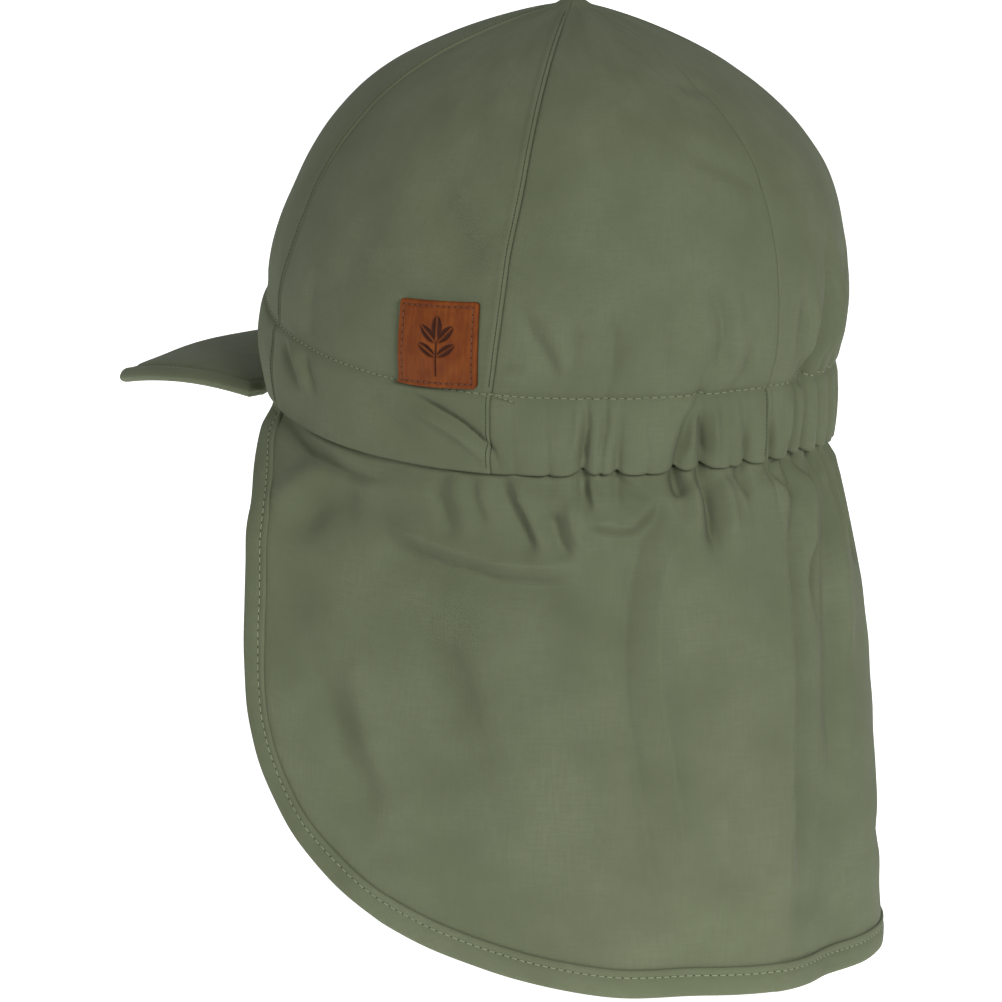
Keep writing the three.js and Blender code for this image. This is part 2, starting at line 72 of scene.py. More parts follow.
def node(tree, kind, settings=(), **links):
    """Add a node; links map a socket, by name or as i and its number, to a value or an output."""
    added = tree.nodes.new("ShaderNode" + kind)
    for name, value in settings:
        setattr(added, name, value)
    for socket, value in links.items():
        numbered = socket[0] == "i" and socket[1:].isdigit()
        target = added.inputs[int(socket[1:]) if numbered else socket.replace("_", " ")]
        if isinstance(value, bpy.types.NodeSocket):
            tree.links.new(value, target)
        else:
            target.default_value = value
    return added


def blank_material(name):
    material = bpy.data.materials.new(name)
    material.use_nodes = True
    tree = material.node_tree
    shader = tree.nodes["Principled BSDF"]
    return material, tree, shader


def plain_material(name, colour, roughness, specular=0.5):
    material, tree, shader = blank_material(name)
    shader.inputs["Base Color"].default_value = linear(colour)
    shader.inputs["Roughness"].default_value = roughness
    shader.inputs["Specular IOR Level"].default_value = specular
    return material


def noise(tree, place, scale, detail, **more):
    return node(tree, "TexNoise", Vector=place, Scale=scale, Detail=detail, **more).outputs["Fac"]


RGBA = [("data_type", "RGBA")]
MULTIPLY = [("operation", "MULTIPLY")]


azimuth, height = math.radians(VIEW_AZIMUTH), math.radians(VIEW_HEIGHT)
toward = Vector((math.sin(azimuth) * math.cos(height), math.cos(azimuth) * math.cos(height),
                 math.sin(height)))
across = Vector((-math.cos(azimuth), math.sin(azimuth), 0))
upward = across.cross(-toward)
camera_data = bpy.data.cameras.new("camera")
camera_data.lens = LENS
camera_data.sensor_width = 36
camera_data.clip_end = 50
camera = bpy.data.objects.new("camera", camera_data)
bpy.context.collection.objects.link(camera)
camera.location = VIEW_ABOUT + VIEW_DISTANCE * toward
aim = VIEW_ABOUT + AIM_ACROSS * across + AIM_UP * upward
camera.rotation_euler = (aim - camera.location).to_track_quat("-Z", "Y").to_euler()
bpy.context.scene.camera = camera

# The white sweep: a table top just below the hem, which falls away in front of the cap
# and curves up into a wall behind it
SWEEP_HALF = 9.0                # metres
SWEEP_RADIUS = 1.2
TABLE_FRONT = 0.16
floor_level = cad_box[0][2] - FLOOR_DROP
profile = [(-TABLE_FRONT - 0.1, -0.9), (-TABLE_FRONT - 0.1, -0.1), (-TABLE_FRONT - 0.07, -0.03)]
flat_end = SWEEP_HALF - SWEEP_RADIUS
profile += [(-TABLE_FRONT, 0.0), (flat_end, 0.0)]
for step in range(1, 13):
    turn = math.radians(90 * step / 12)
    profile.append((flat_end + SWEEP_RADIUS * math.sin(turn), SWEEP_RADIUS * (1 - math.cos(turn))))
profile.append((SWEEP_HALF, SWEEP_HALF))
away = Vector((-math.sin(azimuth), -math.cos(azimuth), 0))
sweep_points = []
for along, rise in profile:
    for side in (-SWEEP_HALF, SWEEP_HALF):
        sweep_points.append(away * along + across * side + Vector((0, 0, floor_level + rise)))
sweep_faces = [(2 * i, 2 * i + 1, 2 * i + 3, 2 * i + 2) for i in range(len(profile) - 1)]
sweep_mesh = bpy.data.meshes.new("sweep")
sweep_mesh.from_pydata([tuple(point) for point in sweep_points], [], sweep_faces)
sweep = bpy.data.objects.new("sweep", sweep_mesh)
bpy.context.collection.objects.link(sweep)
sweep_mesh.polygons.foreach_set("use_smooth", [True] * len(sweep_faces))
paper, tree, shader = blank_material("white background paper")
shader.inputs["Base Color"].default_value = linear("#f4f4f4")
shader.inputs["Roughness"].default_value = 1
shader.inputs["Specular IOR Level"].default_value = 0
shader.inputs["Emission Color"].default_value = linear(WHITE)
shader.inputs["Emission Strength"].default_value = GLOW
sweep_mesh.materials.append(paper)


# Softboxes: metres towards the camera, across the picture and up it, then side and watts
SOFTBOXES = [("key_softbox", 1.95, 0.72, 0.4, 0.7, 34), ("fill_softbox", 1.8, -0.75, 0.3, 0.9, 11)]
WORLD_STRENGTH = 0.1
for name, near, right, above, side, power in SOFTBOXES:
    light = bpy.data.lights.new(name, "AREA")
    light.shape = "RECTANGLE"
    light.size, light.size_y = side, side
    light.energy = power
    lamp = bpy.data.objects.new(name, light)
    lamp.location = VIEW_ABOUT + near * toward + right * across + above * upward
    lamp.rotation_euler = (VIEW_ABOUT - lamp.location).to_track_quat("-Z", "Y").to_euler()
    bpy.context.collection.objects.link(lamp)
world = bpy.data.worlds.new("studio")
bpy.context.scene.world = world
world.use_nodes = True
world.node_tree.nodes["Background"].inputs["Color"].default_value = linear(WHITE)
world.node_tree.nodes["Background"].inputs["Strength"].default_value = WORLD_STRENGTH
bpy.context.scene.view_settings.view_transform = "Standard"


# Crown and casing: six gores of tightly woven cotton, seamed up to a small point.
# Their lower edge is folded up inside and stitched down all round, which makes a casing,
# and a narrow elastic in it gathers the cloth across the back.
HALF_LENGTH = 88.6              # millimetres; half the head opening, front to back
HALF_WIDTH = 70.9
MEAN_RADIUS = math.hypot(HALF_LENGTH, HALF_WIDTH) / math.sqrt(2)
CROWN_RISE = 89
CROWN_SWELL = 1.2
CROWN_SHIFT = 9.5
CROWN_LEAN = 3.4                # the upper crown sits this much further back
FRONT_FLAT = 2.6                # the front gores are flatter by this much
CASING_BACK = 21
CASING_FRONT = 25
RIM_PITCH = 8
RIM_SIDE_DIP = 6.2
CASING_MIDDLE = (CASING_BACK + CASING_FRONT) / 2
PANEL_ANGLE = 60
CROWN_WALL = 0.9
CASING_WALL = 1.7
SEAM_HALF_GAP = 0.06
SEAM_RIDGE = 1.6                # the turned-under cloth stands up at this distance from a seam
NUB_HEIGHT = 1.6                # where the six points meet
PINCH_LIFT = 0.55               # how far a pinch lifts the lower edge, as a share of its depth
COTTON = "#6a715a"
COTTON_SHADE = "#5e654e"
THREAD_SPACING = 0.55           # a real thread is 0.2 mm; drawn coarser so that the weave shows
CROWN_FOLD_SCALE = 2.1          # the fold depths below are multiplied by this
FADES_IN_ONLY = 1.5             # a fold of this sharpness doesn't fade out at its end

# Pinches of the elastic: angle from the back and depth at the lower edge, then at the stitching
PINCHES = [
    (55, 0.3, 56, 0.1), (48.5, 0.7, 49, 0.2), (42, 3.3, 41, 0.5), (38.3, 0.9, 37.3, 0.5),
    (35, 2.6, 34, 0.4), (28.8, 0.5, 29, 0.3), (22.6, 3.1, 17.8, 0.7), (16.2, 3.5, 17.1, 0.8),
    (9.5, 0.6, 10, 0.3), (5.3, 2.5, 5.2, 0.3), (-2.2, 2.1, -1.6, 0.4), (-9.2, 3.4, -10, 2.2),
    (-14.2, 3.6, -14.9, 2.8), (-21.8, 3.4, -20.4, 2.6), (-28, 3.0, -27.8, 2.2), (-34.6, 3.0, -34, 1.8),
    (-41, 2.8, -42, 1.2), (-47.6, 1.9, -47, 0.6), (-54, 0.7, -54, 0.2),
]

# Folds of the crown and casing: depth (negative is a valley), half width, sharpness, then points
# of angle from the back and height above the stitched line, in degrees and millimetres
CROWN_FOLDS = [
    (-1.0, 3.0, 1.6, [(57, 26), (54, 18), (50.2, 11), (46.5, 3)]),
    (0.5, 3.5, 2, [(51, 24), (48, 14), (44, 5)]),
    (-0.5, 2.2, 2, [(46, 22), (45.3, 12), (45, 3)]),
    (-0.7, 2.6, 2, [(38.5, 24), (37.8, 14), (37.6, 3)]),
    (0.4, 3, 2, [(33, 20), (33, 10), (32, 3)]),
    (-0.5, 2.6, 2, [(29, 22), (27, 12), (25.2, 3)]),
    (-0.9, 2.6, 1.6, [(19, 33), (15.6, 24), (14, 15), (15.6, 4)]),
    (0.6, 2.6, 2, [(12, 24), (10.6, 14), (11, 4)]),
    (-0.7, 2, 1.8, [(5.5, 15), (7.2, 8), (9.2, 2)]),
    (-0.35, 2, 2, [(12, 34), (8.2, 24.5), (4.3, 14), (2, 6)]),
    (-1.0, 2.4, 1.6, [(-9, 26), (-8.6, 16), (-8, 4)]),
    (0.8, 2.6, 2, [(-13, 24), (-11.4, 12), (-11, 5)]),
    (-1.8, 2.6, 1.5, [(-22, 40), (-20, 27), (-17.6, 15), (-13, 2)]),
    (0.9, 3, 2, [(-27, 30), (-24, 16), (-19, 4)]),
    (-1.3, 2.8, 1.6, [(-33, 30), (-29, 17), (-27, 3)]),
    (-1.1, 2.8, 1.6, [(-40, 28), (-36, 15), (-35, 3)]),
    (-1.0, 2.8, 1.8, [(-48, 26), (-44, 14), (-42, 3)]),
    (-0.6, 2.6, 2, [(-52, 18), (-48, 3)]),
    (-0.9, 7, 2, [(83, 56), (79, 50), (73, 43), (64.5, 30)]),
    (0.5, 6, 2, [(74, 60), (70, 50), (64, 42)]),
    (-0.4, 6, 2, [(79, 70), (72, 60), (67, 50)]),
    (-0.55, 1.0, 1.3, [(59.5, 7.6), (56.6, 8.8), (53, 7.6)]),
    (0.45, 2.0, 2, [(59.5, 5.0), (56.6, 5.8), (53, 5)]),
    (-0.5, 3, 2, [(20, 66), (12, 62), (6, 59), (0.5, 54)]),
    (-0.45, 1.6, 2, [(10, 80), (1, 79.4), (-4, 79)]),
    (-0.4, 2.4, 2, [(-1, 54), (-10, 55.4), (-21, 55)]),
    (-0.4, 6, 2, [(100, 20), (96, 30), (92, 44)]),
    (-0.5, 5, 2, [(-80, 20), (-74, 32), (-70, 46)]),
    (-0.45, 7, 2, [(-110, 24), (-104, 40), (-98, 56)]),
    (-0.5, 3.4, 2, [(104, 1.5), (106, 10), (107, 22)]),
    (-0.5, 3.6, 2, [(150, 2), (152, 12), (155, 24)]),
    (-0.5, 3.6, 2, [(-150, 2), (-154, 12), (-153, 24)]),
    (-1.3, 1.0, 1.1, [(78, -2), (70.2, -6), (66, -8.6), (62.2, -12.2), (59.6, -15), (58.4, -19)]),
    (0.9, 2.2, 2, [(77, -5), (70, -9), (66, -11.6), (62.6, -15), (60.5, -18)]),
    (-0.6, 2.2, 1.6, [(106, -1), (104, -6), (101, -11)]),
    (-0.6, 2.2, 1.6, [(117, -1), (112, -6), (106, -12)]),
    (0.5, 2.4, 2, [(112, -1), (108, -6), (103, -12)]),
    (-0.5, 4, 2, [(92, -3), (84, -9), (75, -17)]),
    (-0.7, 2.2, 1.6, [(-70, -2), (-66, -9), (-62, -18)]),
    (-0.6, 2.4, 1.8, [(-100, -2), (-94, -9), (-90, -18)]),
    (-0.5, 3, 1.8, [(150, -1), (146, -9), (144, -17)]),
    (-0.5, 3, 1.8, [(-146, -1), (-142, -9), (-141, -17)]),
    (-0.7, 0.8, 1.3, [(41, -0.5), (40.8, -6.7), (41.5, -15), (42, -20.4)]),
    (0.4, 1.2, 2, [(42.8, -1), (42.8, -8), (43.6, -16)]),
    (-0.6, 0.8, 1.3, [(37.2, -0.5), (37.2, -7), (38.2, -14), (38.4, -18)]),
    (-0.9, 1.1, 1.3, [(17.2, -0.5), (20, -5.5), (21.5, -12), (22.5, -20)]),
    (-1.0, 1.0, 1.3, [(17.6, -4), (16.8, -11), (16, -16.4), (16.2, -20)]),
    (0.7, 1.4, 2, [(14.2, -2), (14, -9), (13.4, -17)]),
    (0.6, 1.4, 2, [(19, -4), (19.2, -10), (19.4, -16)]),
    (-0.5, 1.2, 1.4, [(7.8, -1), (6.6, -8), (5.4, -19)]),
    (-0.6, 1.2, 1.4, [(-0.5, -8), (-1.5, -14), (-2.6, -20)]),
    (0.5, 1.5, 2, [(-7, -2), (-6.6, -10), (-6, -18)]),
]


def ease(value):
    share = np.clip(value, 0, 1)
    return share * share * (3 - 2 * share)


def bell(value):
    return np.exp(-np.square(value))


def rim_length(angle):
    return np.radians(angle) * MEAN_RADIUS


def stitch_height(angle):
    turn = np.radians(angle)
    return CASING_MIDDLE - RIM_PITCH * np.cos(turn) - RIM_SIDE_DIP * np.sin(turn) ** 2


def casing_height(angle):
    return CASING_BACK + (CASING_FRONT - CASING_BACK) * (1 - np.cos(np.radians(angle))) / 2


def rim_height(angle):
    return stitch_height(angle) - casing_height(angle)


def oval(angle, share, outward, level):
    """Points on an oval that is a share of the head opening, moved outward in plan."""
    turn = np.radians(angle)
    normal_x, normal_y = np.sin(turn) / HALF_WIDTH, np.cos(turn) / HALF_LENGTH
    size = np.hypot(normal_x, normal_y)
    x = np.sin(turn) * HALF_WIDTH * share + normal_x / size * outward
    y = np.cos(turn) * HALF_LENGTH * share + normal_y / size * outward
    return np.stack(np.broadcast_arrays(x, y, level), -1)


def smooth_path(points, steps=8):
    """A path through a few points, rounded by Catmull and Rom's rule."""
    given = np.array([points[0], *points, points[-1]], float)
    path = []
    for a, b, c, d in zip(given, given[1:], given[2:], given[3:]):
        for t in np.arange(steps) / steps:
            path.append(0.5 * (2 * b + (c - a) * t + (2 * a - 5 * b + 4 * c - d) * t ** 2
                               + (3 * b - a - 3 * c + d) * t ** 3))
    path.append(given[-1])
    return np.array(path)


def near_path(x, y, path):
    """Distance to a path, how far along it that is, from 0 to 1, and on which side of it."""
    nearest = np.full(x.shape, 1e9)
    where = np.zeros(x.shape)
    side = np.zeros(x.shape)
    steps = np.hypot(*np.diff(path, axis=0).T)
    travelled = np.concatenate([[0], np.cumsum(steps)])
    for index, (start, end) in enumerate(zip(path, path[1:])):
        run = end - start
        share = np.clip(((x - start[0]) * run[0] + (y - start[1]) * run[1]) / max(run @ run, 1e-9), 0, 1)
        gap = np.hypot(x - start[0] - share * run[0], y - start[1] - share * run[1])
        closer = gap < nearest
        nearest[closer] = gap[closer]
        where[closer] = (travelled[index] + share[closer] * steps[index]) / travelled[-1]
        side[closer] = np.sign((y - start[1]) * run[0] - (x - start[0]) * run[1])[closer]
    return nearest, where, side


def path_within(length, level, points, reach):
    """A smooth path through a few places on the cloth, and which places lie within reach of its box."""
    path = smooth_path([(float(rim_length(angle)), at) for angle, at in points])
    low, high = path.min(0) - reach, path.max(0) + reach
    return path, (length > low[0]) & (length < high[0]) & (level > low[1]) & (level < high[1])


def facet_relief(length, level, facets):
    """Slanting facets: the cloth rises across each path and settles on both sides of it."""
    relief = np.zeros(np.broadcast(length, level).shape)
    for rise, width, settle, points in facets:
        path, near = path_within(length, level, points, width / 2 + settle)
        gap, where, side = near_path(length[near], level[near], path)
        beyond = np.clip(1 - (gap - width / 2) / settle, 0, 1) ** 2
        relief[near] += rise / 2 * side * np.minimum(gap / (width / 2), beyond) * ease(where / 0.25) \
            * ease((1 - where) / 0.25)
    return relief


def fold_relief(length, level, folds):
    """How far soft folds lift the cloth, at places given along the rim and up or down it."""
    relief = np.zeros(np.broadcast(length, level).shape)
    for depth, width, sharpness, points in folds:
        path, near = path_within(length, level, points, 3.2 * width)
        if not near.any():
            continue
        nearest, where, side = near_path(length[near], level[near], path)
        fade = ease(where / 0.3)
        if sharpness != FADES_IN_ONLY:
            fade = fade * ease((1 - where) / 0.3)
        relief[near] += depth * np.exp(-(nearest / width) ** sharpness) * (0.25 + 0.75 * fade)
    return relief


def pinch_relief(angle, drop):
    """How far the elastic's pinches draw the cloth in; drop is 0 at the stitching, 1 at the lower edge."""
    edge_angle, edge_depth, stitch_angle, stitch_depth = np.array(PINCHES).T
    share = ease(drop)
    relief = 0
    for index in range(len(PINCHES)):
        centre = stitch_angle[index] + (edge_angle[index] - stitch_angle[index]) * drop
        depth = stitch_depth[index] + (edge_depth[index] - stitch_depth[index]) * share
        width = 0.8 + 0.32 * depth
        relief = relief - depth * np.exp(-(np.abs(rim_length(angle - centre)) / width) ** 1.15)
    return relief


def wander(length, level, seed):
    """Slight unevenness of soft cloth, in millimetres."""
    total = 0
    for index in range(5):
        turn = seed * 1.7 + index * 2.4
        pitch = 34 / (1 + 0.45 * index)
        total = total + np.sin((length * math.cos(turn) + level * math.sin(turn)) * 2 * math.pi / pitch
                               + seed * 3.1 + index) / (1 + index)
    return 0.16 * total


def cloth_base(angle, way):
    """The plain form; way is -1 at the casing's lower edge, 0 at its stitching and 1 at the top."""
    turn = np.radians(angle)
    front = ease((1 - np.cos(turn)) / 2)
    drop = np.clip(-way, 0, 1)
    swell = (0.8 + 1.4 * front) * np.sin(np.pi * drop ** 0.8)
    rise = np.clip(way, 0, 0.99995)
    up = np.clip((rise - 0.1) / 0.9, 0, 1)
    share = (1 + CROWN_SWELL / MEAN_RADIUS * ease(rise / 0.1)) * np.sqrt(1 - up * up) * (1 - 0.45 * up ** 8)
    puff = 0.9 * np.abs(np.sin(3 * turn)) * np.sin(np.pi * rise)
    level = (stitch_height(angle) * (1 - rise) + (CASING_MIDDLE + CROWN_RISE) * rise
             + NUB_HEIGHT * bell((1 - rise) / 0.004) - casing_height(angle) * drop)
    points = oval(angle, share, np.where(way < 0, swell, puff), level)
    points -= oval(angle, 0, FRONT_FLAT * ease((1 - np.cos(turn)) / 2) * bell((rise - 0.36) / 0.28), 0)
    points[..., 1] += CROWN_SHIFT * rise ** 0.6 + CROWN_LEAN * bell((rise - 0.68) / 0.3)
    return points


def plan_radius(points, way):
    """Distance from the crown's axis, which shifts back as it rises."""
    return np.hypot(points[..., 0], points[..., 1] - CROWN_SHIFT * np.clip(way, 0, 1) ** 0.6)


def square_to(surface, first, second, first_step, second_step):
    """The outward direction of a surface, from four points around each place."""
    along = surface(first + first_step, second) - surface(first - first_step, second)
    up = surface(first, second + second_step) - surface(first, second - second_step)
    normal = np.cross(along, up)
    return normal / np.maximum(np.linalg.norm(normal, axis=-1, keepdims=True), 1e-9)


def cloth(angle, way):
    """Outer face of crown and casing, with its folds, gathers and seams, and the outward direction."""
    angle, way = np.broadcast_arrays(np.asarray(angle, float), np.asarray(way, float))
    step = np.where(way < 0, 0.02, 0.005)
    outward = -square_to(cloth_base, angle, way, 0.4, step)
    length = rim_length(angle)
    level = np.where(way < 0, way * casing_height(angle),
                     way * (CASING_MIDDLE + CROWN_RISE - stitch_height(angle)))
    relief = CROWN_FOLD_SCALE * fold_relief(length, level, CROWN_FOLDS)
    relief += pinch_relief(angle, np.clip(-way, 0, 1)) * (1 - ease(level / 11))
    relief += wander(length, level, 1) * ease(np.abs(level) / 5) * np.clip((100 - level) / 40, 0, 1)
    relief -= 0.32 * np.exp(-np.abs(level / 0.6) ** 1.5)
    relief += 0.2 * bell((level - 2.6) / 2.0) + 0.25 * bell((level + 2.6) / 2.0)
    points = cloth_base(angle, way)
    away = (angle + 30) % 60 - 30
    gap = np.radians(away) * plan_radius(points, way)
    fade = ease((MEAN_RADIUS * np.sqrt(np.clip(1 - way, 0, 1)) - 8) / 14)
    side = np.sign(angle)
    topstitched = (np.abs(np.abs(angle) - 90) < 60) * (0.4 + 0.6 * (way > 0) * fade)
    relief -= np.where(way > 0, 0.16 + 0.34 * topstitched, 0.4) * np.exp(-np.abs(gap / 0.4)) * fade
    relief += 0.36 * bell((side * gap - SEAM_RIDGE) / 0.9) * topstitched
    points = points + outward * relief[..., None]
    drawn = np.clip(-pinch_relief(angle, 1.0), 0, 4)
    points[..., 2] += PINCH_LIFT * drawn * ease(-way) ** 2
    return points, outward


def mesh_object(name, points, faces, uv=None):
    mesh = bpy.data.meshes.new(name)
    faces = faces if isinstance(faces, list) else faces.tolist()
    mesh.from_pydata((points.reshape(-1, 3) / 1000).tolist(), [], faces)
    if uv is not None:
        layer = mesh.uv_layers.new(name="cloth")
        corners = np.empty(len(mesh.loops), int)
        mesh.loops.foreach_get("vertex_index", corners)
        layer.data.foreach_set("uv", (uv.reshape(-1, 2)[corners] / 1000).ravel())
    piece = bpy.data.objects.new(name, mesh)
    bpy.context.collection.objects.link(piece)
    bpy.ops.object.select_all(action="DESELECT")
    piece.select_set(True)
    bpy.context.view_layer.objects.active = piece
    bpy.ops.object.shade_smooth()
    return piece


def grid_faces(rows, columns, flip=False):
    index = np.arange(rows * columns).reshape(rows, columns)
    corners = [index[:-1, :-1], index[:-1, 1:], index[1:, 1:], index[1:, :-1]]
    faces = np.stack(corners[::-1] if flip else corners, -1)
    return faces.reshape(-1, 4)


def shell(name, outer, inner, uv):
    """A closed wall of cloth from an outer and an inner grid of points."""
    rows, columns = outer.shape[:2]
    count = rows * columns
    index = np.arange(count).reshape(rows, columns)
    faces = [grid_faces(rows, columns), grid_faces(rows, columns, flip=True) + count]
    ring = np.concatenate([index[0, :], index[1:, -1], index[-1, -2::-1], index[-2:0:-1, 0]])
    after = np.roll(ring, -1)
    faces.append(np.stack([after, ring, ring + count, after + count], -1))
    return mesh_object(name, np.concatenate([outer.reshape(-1, 3), inner.reshape(-1, 3)]),
                       np.concatenate(faces), np.concatenate([uv.reshape(-1, 2)] * 2))


def cotton_material(name, colour, shade):
    """Plain-woven cotton: matt, with a fine crossing of threads and a faint unevenness of dye."""
    material, tree, shader = blank_material(name)
    place = node(tree, "UVMap", [("uv_map", "cloth")]).outputs["UV"]
    broad = noise(tree, place, 38.0, 3.0)
    slub = node(tree, "Mapping", Vector=place, Scale=(140.0, 1500.0, 1.0)).outputs["Vector"]
    slub_across = node(tree, "Mapping", Vector=place, Scale=(1500.0, 140.0, 1.0)).outputs["Vector"]
    weft = noise(tree, slub, 1.0, 1.0)
    warp = noise(tree, slub_across, 1.0, 1.0)
    threads = node(tree, "Math", [("operation", "ADD")], i0=weft, i1=warp).outputs[0]
    ramp = node(tree, "MapRange", Value=threads, From_Min=0.7, From_Max=1.3).outputs["Result"]
    mottle = node(tree, "MapRange", Value=broad, From_Min=0.3, From_Max=0.7).outputs["Result"]
    first = node(tree, "Mix", RGBA, i0=mottle, i6=linear(colour), i7=linear(shade)).outputs[2]
    fine = node(tree, "Mix", RGBA, i0=ramp, i6=first, i7=linear(shade)).outputs[2]
    half = node(tree, "Mix", RGBA, i0=0.5, i6=first, i7=fine)
    tree.links.new(half.outputs[2], shader.inputs["Base Color"])
    split = node(tree, "SeparateXYZ", Vector=place)
    waves = []
    for axis in ("X", "Y"):
        turned = node(tree, "Math", MULTIPLY, i0=split.outputs[axis],
                      i1=2 * math.pi * 1000 / THREAD_SPACING).outputs[0]
        waves.append(node(tree, "Math", [("operation", "SINE")], i0=turned).outputs[0])
    weave = node(tree, "Math", MULTIPLY, i0=waves[0], i1=waves[1]).outputs[0]
    crumple = noise(tree, place, 120.0, 4.0, Roughness=0.6)
    rough = node(tree, "Bump", Strength=0.5, Distance=0.0004, Height=crumple)
    cloth = node(tree, "Bump", Strength=0.5, Distance=0.00006, Height=weave,
                 Normal=rough.outputs["Normal"])
    tree.links.new(cloth.outputs["Normal"], shader.inputs["Normal"])
    shader.inputs["Roughness"].default_value = 0.88
    shader.inputs["Specular IOR Level"].default_value = 0.08
    shader.inputs["Sheen Weight"].default_value = 0.03
    shader.inputs["Sheen Roughness"].default_value = 0.6
    return material


cotton = cotton_material("plain-woven cotton", COTTON, COTTON_SHADE)

# Rows close up at the folded lower edge, along the stitching and at the top
ways = np.concatenate([
    [-1, -0.996, -0.988, -0.975, -0.955], np.linspace(-0.93, -0.10, 22), [-0.075, -0.05, -0.03, -0.015, 0.0],
    np.sin(np.concatenate([[0.006, 0.014, 0.024, 0.036], np.linspace(0.05, math.pi / 2 - 0.024, 78)])),
])
PANELS = [("panel_back_left", 30, 146), ("panel_side_left", 90, 80), ("panel_front_left", 150, 56),
          ("panel_front_right", -150, 56), ("panel_side_right", -90, 72), ("panel_back_right", -30, 146)]
CURL = 0.9                      # the lower edge is rounded off over this height
for name, middle, columns in PANELS:
    even = np.linspace(-1, 1, columns)
    angle = middle + (0.6 * even + 0.4 * np.sin(even * math.pi / 2)) * PANEL_ANGLE / 2
    outer, normal = cloth(angle[None, :], ways[:, None])
    below = np.clip(1 - (1 + ways[:, None]) * casing_height(angle) / CURL, 0, 1)
    outer -= normal * (0.6 * (1 - np.sqrt(1 - below ** 2)))[..., None]
    wall = CROWN_WALL + (CASING_WALL - CROWN_WALL) * ease(-ways[:, None] / 0.04)
    inner = outer - normal * (wall + 0 * angle)[..., None]
    for points in (outer, inner):
        for column, side in ((0, 1), (-1, -1)):
            turn = math.radians(angle[column])
            along = np.array([math.cos(turn) * HALF_WIDTH, -math.sin(turn) * HALF_LENGTH, 0])
            points[:, column] += side * SEAM_HALF_GAP * along / np.linalg.norm(along)
    climb = np.linalg.norm(np.diff(outer, axis=0), axis=-1)
    height_up = np.cumsum(np.concatenate([np.zeros((1, columns)), climb]), axis=0)
    uv = np.stack([np.broadcast_to(rim_length(angle - middle), height_up.shape), height_up], -1)
    panel = shell(name + "_cloth", outer, inner, uv)
    panel.data.materials.append(cotton)
    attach(panel, "root")
    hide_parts(name)


# Stitching: a lockstitch of olive thread along the casing, beside the crown's seams and down the seams of the
# casing;
# the seam rows' thread is darkened with painted shade for the shadows along the seams. A loose end hangs by
# the left seam.
STITCH_PITCH = 2.3
STITCH_SINK = 0.08              # how far a stitch's ends are drawn into the cloth
THREAD_RADIUS = 0.17
THREAD = "#7f886a"
# Painted shade: the seam thread is drawn darker than the cloth to stand for the shadows along the seam
# stitching
SEAM_THREAD_SHADED = "#3a4030"
# Painted shade: the needle-hole pits are near black to stand for the shadow inside each hole
HOLE_SHADE = "#23281a"
SEAM_STITCH = 0.9               # the topstitching runs this far beside a seam
thread = plain_material("cotton sewing thread", THREAD, 0.7)
shaded_seam_thread = plain_material("seam thread darkened with painted shade", SEAM_THREAD_SHADED, 0.8)
needle_hole_shade = plain_material("shadowed needle hole", HOLE_SHADE, 1, specular=0)


def stitches(name, paths, pitch=STITCH_PITCH, radius=THREAD_RADIUS, lift=0.1,
             materials=(thread, needle_hole_shade)):
    """Each stitch is a short bowed thread, and a near-black pit of painted shade marks the needle hole
    between two.
    """
    points, faces, kinds = [], [], []
    ring = np.linspace(0, 2 * np.pi, 7)[:-1]

    def tube(centres, radii, normal, kind):
        along = centres[-1] - centres[0]
        side = np.cross(along, normal)
        side /= np.linalg.norm(side)
        first = 6 * len(points)
        for centre, size in zip(centres, radii):
            points.append(centre + size * (np.cos(ring)[:, None] * side + np.sin(ring)[:, None] * normal))
        for step in range(len(centres) - 1):
            for turn in range(6):
                a, b = first + step * 6 + turn, first + step * 6 + (turn + 1) % 6
                faces.append((a, b, b + 6, a + 6))
                kinds.append(kind)

    for spots, normals in paths:
        run = np.concatenate([[0], np.cumsum(np.linalg.norm(np.diff(spots, axis=0), axis=1))])
        count = max(2, int(round(run[-1] / pitch)))
        at = np.linspace(0, run[-1], count * 4 + 1)
        spots = np.stack([np.interp(at, run, spots[:, axis]) for axis in range(3)], -1)
        normals = np.stack([np.interp(at, run, normals[:, axis]) for axis in range(3)], -1)
        for index in range(count):
            four = spots[4 * index:4 * index + 5]
            normal = normals[4 * index + 2]
            start, end = four[0] * 0.6 + four[1] * 0.4, four[4] * 0.6 + four[3] * 0.4
            shares = np.array([0, 0.12, 0.3, 0.5, 0.7, 0.88, 1])
            bow = start + (end - start) * shares[:, None]
            arch = np.sin(np.pi * shares)[:, None] ** 0.5
            bow += (four[2] - (start + end) / 2 + lift * normal) * arch - STITCH_SINK * normal
            tube(bow, radius * np.array([0.35, 0.8, 1, 1.05, 1, 0.8, 0.35]), normal, 0)
            step = (four[4] - four[3]) * 0.5
            pit = four[4] + step * np.array([-0.9, -0.5, 0.5, 0.9])[:, None]
            tube(pit, radius * np.array([0.2, 0.8, 0.8, 0.2]), normal, 1)
    row = mesh_object(name, np.concatenate(points), np.array(faces))
    for material in materials:
        row.data.materials.append(material)
    row.data.polygons.foreach_set("material_index", kinds)
    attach(row, "root")


def beside_seam(seam, offset, low, high, steps=160):
    """A path that keeps an even distance from a seam."""
    way = np.linspace(low, high, steps)
    base = cloth_base(np.full(steps, float(seam)), way)
    return cloth(seam + np.degrees(offset / plan_radius(base, way)), way)


